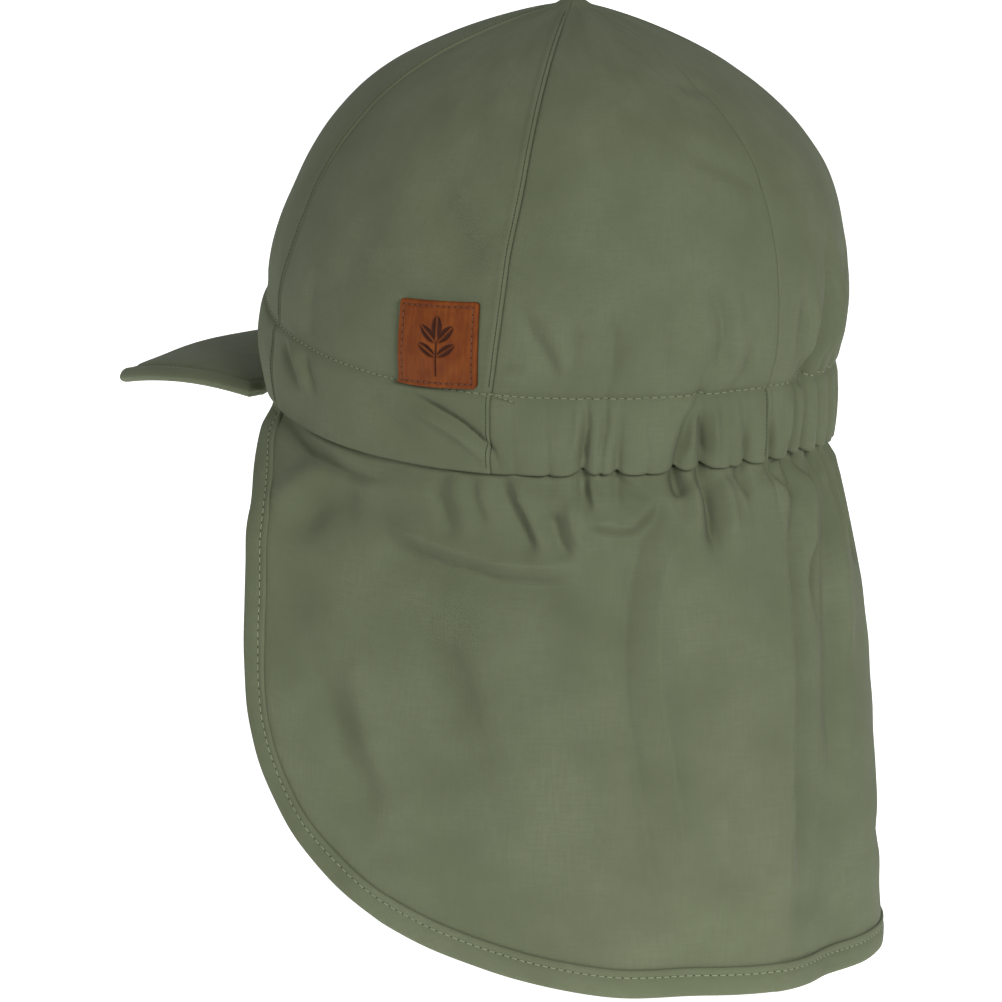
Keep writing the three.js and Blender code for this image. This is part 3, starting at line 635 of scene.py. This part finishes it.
around = np.linspace(-180, 180, 1200)
stitches("casing_stitches", [cloth(around, np.zeros(1200))])
seam_paths = []
for seam in (60, 120, -60, -120):
    side = 1 if seam > 0 else -1
    seam_paths.append(beside_seam(seam, side * SEAM_STITCH, 0.02, 0.985))
    seam_paths.append(beside_seam(seam, side * SEAM_STITCH, -0.93, -0.04, 50))
for seam in (0, 180):
    seam_paths.append(beside_seam(seam, SEAM_STITCH, -0.93, -0.04, 50))
stitches("seam_stitches", seam_paths, lift=0.02, materials=(shaded_seam_thread, needle_hole_shade))
tail_along = np.linspace(0, 1, 14)
tail, tail_out = cloth(59.4 - 4.2 * tail_along, 0.004 - 0.075 * tail_along ** 1.4)
tail += tail_out * (0.35 + 0.9 * np.sin(np.pi * tail_along ** 0.8))[:, None]
stitches("thread_tail", [(tail, tail_out)], pitch=1.6, radius=0.13, lift=0.0)


# Peak: two layers of cotton over a thin soft pad, turned, topstitched round its edge and
# sewn in behind the casing. Its front droops and its rim is rounded.
PEAK_SPAN = 44                  # half angle of its seam, in degrees from the front
PEAK_REACH = 62
PEAK_WALL = 3.1
PEAK_TUCK = 4
PEAK_BEHIND = 1.0               # gap between the casing's inner face and the tucked peak
PEAK_CREST = 1.9
PEAK_FALL = 14.6
PEAK_DROOP = 1.2
PEAK_OVERHANG = 5.7
PEAK_SQUARENESS = 3
PEAK_EDGE_RADIUS = 1.9          # plan distance over which the rim is rounded off
PEAK_STITCH_INSET = 4.6
CLEARANCE = 0.3


def peak_middle(across, out):
    """Middle surface of the peak and the plan direction in which its seam faces."""
    angle = 180 + across * PEAK_SPAN
    seam = rim_height(angle) - CLEARANCE
    end = oval(180 - PEAK_SPAN, 1, 0, 0)
    power = 2 / PEAK_SQUARENESS
    turn = across * math.pi / 2
    edge_x = -np.sign(across) * (end[0] + PEAK_OVERHANG) * np.abs(np.sin(turn)) ** power
    edge_y = end[1] - (HALF_LENGTH + PEAK_REACH + end[1]) * np.abs(np.cos(turn)) ** power
    start = oval(angle, 1, CLEARANCE, seam)
    share = np.clip(out, 0, 1)
    x = start[..., 0] * (1 - share) + edge_x * share
    y = start[..., 1] * (1 - share) + edge_y * share
    reach = np.hypot(x - start[..., 0], y - start[..., 1]) / PEAK_REACH
    z = seam + PEAK_CREST * np.sin(np.pi * np.minimum(1, reach)) - PEAK_FALL * reach ** 2 \
        - PEAK_DROOP * reach * across ** 2 - PEAK_WALL / 2
    return np.stack(np.broadcast_arrays(x, y, z), -1)


peak_across = np.sin(np.linspace(-1, 1, 151) * math.pi / 2)
peak_out = 1 - np.linspace(1, 0, 64) ** 1.5
flat_peak = peak_middle(peak_across[None, :], peak_out[:, None])
outline = np.concatenate([flat_peak[:, 0], flat_peak[-1, 1:-1], flat_peak[::-1, -1]])[:, :2]
start, run = outline[:-1], np.diff(outline, axis=0)
from_start = flat_peak[:, :, None, :2] - start
share = np.clip((from_start * run).sum(-1) / np.maximum((run * run).sum(-1), 1e-9), 0, 1)
inset = np.linalg.norm(from_start - share[..., None] * run, axis=-1).min(-1)
rounding = np.sqrt(1 - (1 - np.clip(inset / PEAK_EDGE_RADIUS, 0, 1)) ** 2)
groove = 0.42 * bell((inset - PEAK_STITCH_INSET) / 0.9) - 0.3 * bell((inset - 2.4) / 1.5)
half = PEAK_WALL / 2 * rounding * (1 - groove)
peak_up = square_to(peak_middle, peak_across[None, :], np.clip(peak_out[:, None], 0.01, 0.99), 0.004, 0.008)
peak_up *= np.sign(peak_up[..., 2:])
peak_x = flat_peak[..., 0]
ripple = 0.25 * np.sin(peak_x / 5.5) * bell((inset - 9) / 7) + 0.3 * bell((peak_x - 20) / 9)
upper = flat_peak + peak_up * (half + ripple * rounding)[..., None]
under = flat_peak - peak_up * (half - ripple * rounding)[..., None]
peak_angle = 180 + peak_across * PEAK_SPAN
tuck_out = -CASING_WALL - PEAK_BEHIND - PEAK_WALL / 2
tuck_rows = []
for lift in (PEAK_TUCK, 2.5, 1.2, 0.3):
    tuck_rows.append((oval(peak_angle, 1, tuck_out + PEAK_WALL / 2, rim_height(peak_angle) + lift),
                      oval(peak_angle, 1, tuck_out - PEAK_WALL / 2, rim_height(peak_angle) + lift)))
upper = np.concatenate([[row[0] for row in tuck_rows], upper])
under = np.concatenate([[row[1] for row in tuck_rows], under])
peak_uv = np.concatenate([[row[0][:, :2] for row in tuck_rows], flat_peak[..., :2]])
peak = shell("peak_padded", under, upper, peak_uv)
peak.data.materials.append(cotton)
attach(peak, "root")
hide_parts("peak")
peak_paths = []
for face, side in ((upper[4:], 1), (under[4:], -1)):
    path, normals = [], []
    for column in range(4, len(peak_across) - 4):
        distances = inset[:, column]
        from_front = len(distances) - 1 - np.argmax(distances[::-1] > PEAK_STITCH_INSET)
        if distances[from_front] <= PEAK_STITCH_INSET or from_front == 0:
            continue
        here, there = distances[from_front], distances[from_front + 1]
        share = (here - PEAK_STITCH_INSET) / (here - there)
        path.append(face[from_front, column] * (1 - share) + face[from_front + 1, column] * share)
        normals.append(side * peak_up[from_front, column])
    peak_paths.append((np.array(path), np.array(normals)))
stitches("peak_stitches", peak_paths)


# Flap: one sheet of the same cotton, sewn behind the casing from temple to temple. The
# elastic gathers it at the back, so that it hangs in long soft folds to a rounded hem.
FLAP_LENGTH = 143.5
FLAP_HALF_SPAN = float(rim_length(180 - PEAK_SPAN - 5.5))
FLAP_ROUNDNESS = 2.54
FLAP_TUCK = 4
FLAP_WALL = 0.6
FLAP_FLARE = 15.4
FLAP_FLARE_DEPTH = 55
FLAP_BEHIND = 2.1
SIDE_FLARE = 0.8
SWING_START = 1
CLEAR_DEPTH = 6
SIDE_ANGLE = 78                 # from here to the front the flap leaves the rim's curve
SIDE_DEPTH = 30                 # and hangs in a plane from this depth down
SIDE_CUT = 0.27                 # its front edge is cut back by this share of the length past there,
CUT_LEAD = 6                    # from this far above the rim
CUT_FADE_START = 35             # and less and less below this depth,
CUT_FADE = 90                   # until nothing this much further down
HANGING_SCALE = 0.75            # the depths in the three lists below are multiplied by these
CREASE_SCALE = 2.0
FACET_SCALE = 2.0

# Broad folds that reach the hem: angle, depth in millimetres, half width, depth where they start
HANGING_FOLDS = [
    (92, 2.0, 23, 14), (66, -2.0, 18.7, 7), (35, 3.6, 14.4, 17), (23, -3.2, 11.5, 14), (5, 3.2, 12.9, 11.5),
    (-10, -3.6, 11.5, 8.6), (-32, 1.6, 14.4, 14), (-56, -2.4, 15.8, 7), (-84, 2.0, 20, 14),
]
# Finer folds: depth, half width, sharpness, then points of angle from the back and depth below the rim
FLAP_CREASES = [
    (-1.6, 1.7, 1.3, [(115, 2.5), (109, 4), (104.5, 5), (99, 5.2), (91.5, 6), (83, 5.5)]),
    (0.9, 2.2, 2, [(111, 1.5), (104, 2), (97, 2.4), (88, 3)]),
    (-1.1, 5, 2, [(105, 29), (103, 24), (99.5, 18), (94.5, 13.5), (85.2, 13)]),
    (1.0, 4, 2, [(112, 24), (108, 17), (103, 11), (96, 9)]),
    (-2.2, 1.6, 1.4, [(21.8, 0), (21.6, 3), (21.2, 6)]),
    (-2.6, 2.3, 1.4, [(15.2, 0), (15, 7), (15, 14), (15, 22)]),
    (1.0, 2.6, 2, [(18.6, 1), (18.4, 8), (19, 16)]),
    (1.0, 2.6, 2, [(11.4, 1), (11, 8), (10.6, 18)]),
    (-1.2, 1.8, 1.5, [(7.2, 0), (6.2, 3), (5.2, 6)]),
    (-1.5, 1.8, 1.5, [(-3.4, 0), (-5.2, 3), (-7.6, 7.5)]),
    (1.6, 3.0, 1.6, [(-5.4, 9), (-2.6, 24), (-0.4, 38), (1.6, 64), (3.2, 92), (4, 124)]),
    (-2.4, 4.4, 1.6, [(-10.8, 1), (-7.4, 14), (-5, 27), (-3, 51), (-1, 92), (-1, 118)]),
    (-2.6, 2.4, 1.4, [(-19.4, 0), (-15.4, 13), (-12.6, 28), (-12.8, 44)]),
    (1.8, 3, 2, [(-15, 2), (-11.6, 14), (-9.6, 30)]),
    (-1.8, 4, 1.8, [(-22.5, 6), (-17.6, 34), (-15, 67), (-14, 92)]),
    (1.2, 4, 2, [(-27, 4), (-23, 28), (-20, 60)]),
    (-2.0, 2.6, 1.5, [(-28, 0), (-27, 10), (-25.4, 26)]),
    (-2.0, 2.8, 1.5, [(-34.6, 0), (-34, 12), (-35, 30)]),
    (-1.6, 2.8, 1.6, [(-41, 0), (-42, 14), (-45, 34)]),
    (-1.0, 3, 1.8, [(-48, 0), (-50, 12), (-54, 26)]),
    (-1.3, 8, 2, [(92, 56), (90.8, 68.5), (86.8, 84), (79, 104)]),
    (1.3, 8, 2, [(100, 40), (92.5, 52), (85, 66.5), (77, 90)]),
    (-1.0, 8, 2, [(80, 34), (76, 42), (67.8, 56.5), (60, 72)]),
    (0.9, 7, 2, [(66, 36), (62, 45), (56.2, 71.5), (52, 92)]),
    (-0.8, 6, 2, [(46, 60), (42, 80), (40, 104)]),
    (0.7, 6, 2, [(14, 40), (14.4, 70), (12, 100)]),
    (-0.9, 5, 2, [(14, 74), (16, 96), (14, 120)]),
    (-0.8, 3, 1.6, [(-39, 96), (-39.5, 104), (-35, 109), (-30, 111)]),
    (-1.3, 8, 2, [(-92, 40), (-86, 64), (-78, 92)]),
    (1.2, 8, 2, [(-74, 34), (-68, 60), (-62, 88)]),
    (-1.4, 4, 1.8, [(-100, 10), (-86, 14), (-70, 13)]),
]

# Slanting facets of the hanging cloth: rise, width, how wide it settles beside them, and their paths
FLAP_FACETS = [
    (3.4, 5.6, 13, [(84, 17.5), (78, 20), (70.8, 22), (63.2, 24), (56.8, 26), (49.2, 26.2), (43.5, 24.6),
                    (40.5, 20)]),
    (2.5, 5.5, 7, [(47, 7), (45.6, 11), (44.6, 16), (42.6, 22)]),
    (2.3, 3.6, 6, [(59, 0), (57, 2), (54.2, 8), (51.5, 15), (49, 22)]),
    (1.6, 6.0, 4, [(71, 1), (69, 5), (66.6, 11), (64, 18)]),
    (0.9, 2.4, 4, [(63.4, 1), (62.4, 5), (61.2, 9), (59.6, 14)]),
    (2.2, 3.4, 8, [(43, 11.5), (41, 12.6), (37.8, 13.8), (32.8, 14.4), (29.2, 11), (26, 5)]),
    (1.5, 2.4, 4, [(41.4, 0), (40.8, 3), (40.2, 6), (40, 9.5)]),
    (0.8, 1.4, 3, [(35, 0), (33.8, 1), (31, 3), (27.6, 5.6)]),
    (2.9, 8.0, 17, [(20, 2), (22.2, 7.5), (25, 14.5), (28, 20), (30.2, 30.5), (31.2, 44), (31, 60),
                    (29, 80), (26.8, 104), (24.8, 130)]),
    (0.5, 5.5, 12, [(88, 46), (86, 62), (81, 84), (77, 98)]),
    (0.35, 6.0, 12, [(66, 40), (61, 58), (55, 80)]),
]
SPREAD = np.array([SIDE_FLARE, 1, 1])


def flap_base(length, depth):
    angle = np.degrees(length / MEAN_RADIUS)
    hang = np.maximum(0, depth - SWING_START)
    flare = FLAP_FLARE * (1 - np.exp(-hang / FLAP_FLARE_DEPTH))
    behind = FLAP_BEHIND * (1 - ease(hang / CLEAR_DEPTH))
    fold = 0
    for at, rise, width, top in HANGING_FOLDS:
        fold = fold + rise * HANGING_SCALE * bell((length - rim_length(at)) / width) * ease((hang - top) / 50)
    past = np.maximum(0, np.abs(angle) - SIDE_ANGLE)
    turned = np.sign(angle) * SIDE_ANGLE
    turn = np.radians(turned)
    forward = np.stack([np.cos(turn) * HALF_WIDTH, -np.abs(np.sin(turn)) * HALF_LENGTH, 0 * turn], -1)
    forward[..., 0] *= np.sign(angle)
    forward /= np.maximum(np.linalg.norm(forward, axis=-1, keepdims=True), 1e-9)
    along = oval(angle, 1, fold - behind, rim_height(angle) - depth) + oval(angle, 0, flare, 0) * SPREAD
    straight = oval(turned, 1, fold - behind, rim_height(angle) - depth) + oval(turned, 0, flare, 0) * SPREAD
    straight = straight + forward * rim_length(past)[..., None]
    share = (ease(hang / SIDE_DEPTH) * (past > 0))[..., None]
    return along * (1 - share) + straight * share


def flap_cloth(length, depth):
    """Outer face of the flap with its folds, and the outward direction."""
    length, depth = np.broadcast_arrays(np.asarray(length, float), np.asarray(depth, float))
    angle = np.degrees(length / MEAN_RADIUS)
    outward = square_to(flap_base, length, depth, 1.0, 1.0)
    outward = outward * np.sign((outward * oval(angle, 0, 1, 0)).sum(-1, keepdims=True))
    relief = CREASE_SCALE * fold_relief(length, depth, FLAP_CREASES)
    relief = relief * np.clip((FLAP_LENGTH - depth) / 18, 0.35, 1)
    relief = relief + FACET_SCALE * facet_relief(length, depth, FLAP_FACETS)
    relief = relief * ease((FLAP_HALF_SPAN - np.abs(length)) / 14)
    relief = relief + pinch_relief(angle, 1.0) * np.exp(-np.maximum(0, depth - 1) / 7)
    relief = relief + 1.3 * wander(length, depth, 2) * ease(depth / 10)
    return flap_base(length, depth) + outward * relief[..., None], outward


def edge_stations(sides, hem):
    """Cut edge from the left top over the hem to the right top, laid flat, and its inward direction."""
    corner = 0.5 ** (1 / FLAP_ROUNDNESS)
    down = EDGE_START + (corner * FLAP_LENGTH - EDGE_START) * np.linspace(0, 1, sides)
    out = FLAP_HALF_SPAN * (1 - np.maximum(0, down / FLAP_LENGTH) ** FLAP_ROUNDNESS) ** (1 / FLAP_ROUNDNESS)
    along = hem * corner * FLAP_HALF_SPAN
    low = FLAP_LENGTH * (1 - np.abs(along / FLAP_HALF_SPAN) ** FLAP_ROUNDNESS) ** (1 / FLAP_ROUNDNESS)
    length = np.concatenate([out[:-1], along[::-1], -out[-2::-1]])
    depth = np.concatenate([down[:-1], low[::-1], down[-2::-1]])
    past = np.maximum(0, np.abs(length) - rim_length(SIDE_ANGLE))
    cut = SIDE_CUT * ease((depth + CUT_LEAD) / SIDE_DEPTH) * (1 - ease((depth - CUT_FADE_START) / CUT_FADE))
    length = length - np.sign(length) * past * cut
    edge = np.stack([length, depth], -1)
    run = np.gradient(edge, axis=0)
    inward = np.stack([-run[:, 1], run[:, 0]], -1)
    return edge, inward / np.linalg.norm(inward, axis=-1, keepdims=True)


EDGE_START = -1.0               # the binding runs up to here, just behind the casing
EDGE_INSET = 1.3                # the flap's cut edge lies this far inside the binding's fold
even = np.linspace(-1, 1, 316)
hem = 0.55 * even + 0.45 * even ** 3
SIDE_ROWS = 134
edge, inward = edge_stations(SIDE_ROWS, hem)
edge = edge + inward * EDGE_INSET
left, right = edge[:SIDE_ROWS], edge[-SIDE_ROWS:][::-1]
low = edge[SIDE_ROWS - 1:len(edge) - SIDE_ROWS + 1]
left = np.concatenate([[[left[0, 0], -FLAP_TUCK]], left])
right = np.concatenate([[[right[0, 0], -FLAP_TUCK]], right])
column = (hem[::-1] + 1) / 2
row = np.concatenate([[0], 0.025 + 0.975 * np.linspace(0, 1, SIDE_ROWS)])
top = np.stack([right[0, 0] + (left[0, 0] - right[0, 0]) * column, np.full(len(column), -FLAP_TUCK)], -1)
u, v = column[None, :, None], row[:, None, None]
sheet_flat = ((1 - v) * top + v * low + u * left[:, None] + (1 - u) * right[:, None]
              - (1 - v) * (u * left[0] + (1 - u) * right[0]) - v * (u * left[-1] + (1 - u) * right[-1]))
outer, normal = flap_cloth(sheet_flat[..., 0], sheet_flat[..., 1])
inner = outer - normal * FLAP_WALL
flap = shell("flap_cloth", outer, inner, sheet_flat)
flap.data.materials.append(cotton)
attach(flap, "root")
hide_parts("flap")


# Binding: a bias-cut strip of the same cotton, folded over the flap's free edge and
# stitched through. Its two ends overlap at the back of the hem.
JOIN_AT = 9.0                   # where the ends overlap, along the hem from its middle
# Section of one half: distance in from the fold and height above the middle of the flap
BINDING_SECTION = [
    (8.0, 0.34), (8.0, 0.62), (7.85, 0.86), (7.45, 1.0), (6.9, 1.02), (6.4, 0.92), (6.1, 0.78), (5.8, 0.74),
    (5.5, 0.8), (5.1, 0.95), (4.4, 1.08), (3.4, 1.14), (2.2, 1.12), (1.3, 1.02), (0.6, 0.8), (0.15, 0.42),
]
BINDING_STITCH = 5.8
edge, inward = edge_stations(170, np.linspace(-1, 1, 330))
run = np.concatenate([[0], np.cumsum(np.linalg.norm(np.diff(edge, axis=0), axis=1))])
join = run[np.argmin(np.abs(edge[:, 0] - JOIN_AT) + (edge[:, 1] < FLAP_LENGTH / 2) * 1e3)]


def bound(distance, away):
    """Points of the binding at a distance in from its fold and a height above the flap's middle."""
    spot = edge + inward * distance
    base, normal = flap_cloth(spot[:, 0], spot[:, 1])
    pucker = 0.10 * np.sin(run / 1.9 + 0.8 * np.sin(run / 7)) * bell((distance - 4) / 2.4) * (away > 0.3)
    slant = join + (distance - 4) * 0.25
    overlap = 0.75 * np.clip((run - slant + 0.3) / 0.6, 0, 1) * np.exp(-np.maximum(0, run - slant) / 9)
    above = away + (pucker + overlap * (away > 0.3)) * (1 if away > 0 else 0)
    return base + normal * (above - FLAP_WALL / 2)[:, None], normal


section = BINDING_SECTION + [(0, 0)] + [(distance, -away) for distance, away in BINDING_SECTION[::-1]]
section += [(1.1, -0.34), (1.1, 0.34)]
rings = np.stack([bound(distance, away)[0] for distance, away in section])
rows, columns = rings.shape[:2]
index = np.arange(rows * columns).reshape(rows, columns)
below = np.roll(index, -1, axis=0)
faces = np.stack([index[:, :-1], index[:, 1:], below[:, 1:], below[:, :-1]], -1).reshape(-1, 4).tolist()
faces += [index[:, 0].tolist(), index[::-1, -1].tolist()]
across_strip = np.array([distance if away >= 0 else -distance for distance, away in section])
uv = np.stack(np.broadcast_arrays(run, across_strip[:, None]), -1)
turned = np.array([[0.7071, -0.7071], [0.7071, 0.7071]])
binding = mesh_object("binding_strip", rings, faces, uv @ turned)
binding.data.materials.append(cotton)
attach(binding, "root")
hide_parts("flap_binding")
outside, outside_normal = bound(BINDING_STITCH, 0.74)
inside, inside_normal = bound(BINDING_STITCH, -0.74)
stitches("binding_stitches", [(outside, outside_normal), (inside, -inside_normal)])


# Patch: a square of brown leather with a streaky grain, stitched down round its edge. A
# small sprig of leaves is pressed into it, darkened by the hot die.
PATCH_WIDTH = 25
PATCH_HEIGHT = 24
PATCH_WALL = 1.3
PATCH_FOOT = 0.3                # its back lies this far off the crown's plain form
PATCH_INSET = 5.0               # from the side seam
PATCH_LIFT = 1.6                # above the stitched line
PATCH_STITCH_INSET = 1.5
PATCH_LEAN = 5.2                # degrees; it isn't quite square to the seam
PATCH_NUDGE = (0.3, -1.2)       # how far the lean moves its middle
LEATHER = "#7d431b"
LEATHER_DARK = "#6b3517"
LEATHER_PRESSED = "#3d2015"
PATCH_THREAD = "#6b3c28"
rim_step = float(np.linalg.norm(cloth_base(61.0, 0.0) - cloth_base(60.0, 0.0)))
patch_seam = 60 + PATCH_INSET / rim_step
wide = patch_seam + PATCH_WIDTH / rim_step / 2
wide_step = float(np.linalg.norm(cloth_base(wide + 0.5, 0.0) - cloth_base(wide - 0.5, 0.0)))


def patch_place(x, y, away):
    """Points over the crown, from millimetres across and up the patch."""
    turn = math.radians(PATCH_LEAN)
    from_x, from_y = x - PATCH_WIDTH / 2, y - PATCH_HEIGHT / 2
    x = PATCH_WIDTH / 2 + from_x * math.cos(turn) + from_y * math.sin(turn) + PATCH_NUDGE[0]
    y = PATCH_HEIGHT / 2 + from_y * math.cos(turn) - from_x * math.sin(turn) + PATCH_NUDGE[1]
    angle = patch_seam + x / wide_step
    way = (PATCH_LIFT + y) / (CASING_MIDDLE + CROWN_RISE - stitch_height(angle))
    outward = -square_to(cloth_base, angle, way, 0.4, 0.005)
    return cloth_base(angle, way) + outward * np.asarray(away)[..., None], outward


def leaf(x, y, tip_x, tip_y, base_x, base_y, width):
    """Signed distance to a pointed leaf, negative inside, and the distance from its midrib."""
    run_x, run_y = tip_x - base_x, tip_y - base_y
    long = math.hypot(run_x, run_y)
    along = ((x - base_x) * run_x + (y - base_y) * run_y) / long
    side = np.abs((x - base_x) * run_y - (y - base_y) * run_x) / long
    radius = (long ** 2 / 4 + width ** 2 / 4) / width
    return np.hypot(along - long / 2, side + radius - width / 2) - radius, side


def sprig(x, y):
    """Signed distance to the pressed sprig, in millimetres."""
    distance = np.full(x.shape, 9.0)
    leaves = [(12.5, 20.2, 12.5, 13.8, 3.3), (7.2, 17.4, 12.3, 12.6, 2.9), (17.8, 17.4, 12.7, 12.6, 2.9),
              (6.6, 12.4, 12.4, 8.8, 2.6), (18.4, 12.4, 12.6, 8.8, 2.6)]
    for tip_x, tip_y, base_x, base_y, width in leaves:
        shape, side = leaf(x, y, tip_x, tip_y, base_x, base_y, width)
        distance = np.minimum(distance, np.maximum(shape, 0.22 - side))
    stem = np.hypot(x - 12.5, y - np.clip(y, 3.8, 12.8)) - 0.26
    return np.minimum(distance, stem)


steps = 151
fine = np.linspace(0, 1, steps)
fine = 0.5 - 0.5 * np.cos(np.pi * (0.5 * fine + 0.25)) / math.cos(math.pi / 4)
x, y = np.meshgrid(fine * PATCH_WIDTH, fine * PATCH_HEIGHT)
side_x = np.minimum(x, PATCH_WIDTH - x)
side_y = np.minimum(y, PATCH_HEIGHT - y)
border = np.minimum(side_x, side_y)
pressed = np.clip(0.5 - sprig(x, y) / 0.3, 0, 1)
lift = PATCH_WALL + 0.35 - 0.5 * (1 - np.sqrt(np.clip(1 - (1 - np.clip(border / 0.6, 0, 1)) ** 2, 0, 1)))
lift -= 0.42 * ease(pressed) + 0.22 * bell((border - PATCH_STITCH_INSET) / 0.32)
lift += 0.06 * np.sin(x * 1.9 + 0.7 * np.sin(y * 0.8)) * np.sin(y * 0.6 + 1)
round_x, round_y = np.clip(1 - side_x / 1.0, 0, 1), np.clip(1 - side_y / 1.0, 0, 1)
x = x + np.sign(PATCH_WIDTH / 2 - x) * 0.35 * round_x * round_y ** 2
y = y + np.sign(PATCH_HEIGHT / 2 - y) * 0.35 * round_y * round_x ** 2
outer = patch_place(x, y, lift)[0]
inner = patch_place(x, y, np.full(x.shape, PATCH_FOOT))[0]
patch = shell("patch_leather", outer, inner, np.stack([x, y], -1))
shade = patch.data.attributes.new("pressed", "FLOAT", "POINT")
shade.data.foreach_set("value", np.concatenate([pressed.ravel(), pressed.ravel()]))
leather, tree, shader = blank_material("brown streaked leather")
place = node(tree, "UVMap", [("uv_map", "cloth")]).outputs["UV"]
stretched = node(tree, "Mapping", Vector=place, Scale=(900.0, 130.0, 1.0)).outputs["Vector"]
streak = noise(tree, stretched, 1.0, 4.0, Roughness=0.6)
blotch = noise(tree, place, 140.0, 2.0)
mixed = node(tree, "Math", MULTIPLY, i0=streak, i1=blotch).outputs[0]
dark = node(tree, "MapRange", Value=mixed, From_Min=0.16, From_Max=0.36).outputs["Result"]
tone = node(tree, "Mix", RGBA, i0=dark, i6=linear(LEATHER_DARK), i7=linear(LEATHER)).outputs[2]
mark = node(tree, "Attribute", [("attribute_name", "pressed")]).outputs["Fac"]
final = node(tree, "Mix", RGBA, i0=mark, i6=tone, i7=linear(LEATHER_PRESSED))
tree.links.new(final.outputs[2], shader.inputs["Base Color"])
grain = noise(tree, place, 2200.0, 3.0)
relief = node(tree, "Bump", Strength=0.4, Distance=0.00015, Height=grain).outputs["Normal"]
relief = node(tree, "Bump", Strength=0.5, Distance=0.0002, Height=streak, Normal=relief)
tree.links.new(relief.outputs["Normal"], shader.inputs["Normal"])
shader.inputs["Roughness"].default_value = 0.6
shader.inputs["Specular IOR Level"].default_value = 0.12
patch.data.materials.append(leather)
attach(patch, "root")
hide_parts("patch")
patch_thread = plain_material("brown sewing thread", PATCH_THREAD, 0.6)
low_x, high_x = PATCH_STITCH_INSET, PATCH_WIDTH - PATCH_STITCH_INSET
low_y, high_y = PATCH_STITCH_INSET, PATCH_HEIGHT - PATCH_STITCH_INSET
share = np.linspace(0, 1, 40)
corners = [(low_x, low_y), (high_x, low_y), (high_x, high_y), (low_x, high_y)]
patch_paths = []
for (x0, y0), (x1, y1) in zip(corners, corners[1:] + corners[:1]):
    patch_paths.append(patch_place(x0 + (x1 - x0) * share, y0 + (y1 - y0) * share,
                                   np.full(40, PATCH_WALL + 0.2)))
stitches("patch_stitches", patch_paths, pitch=1.9, materials=(patch_thread, needle_hole_shade))
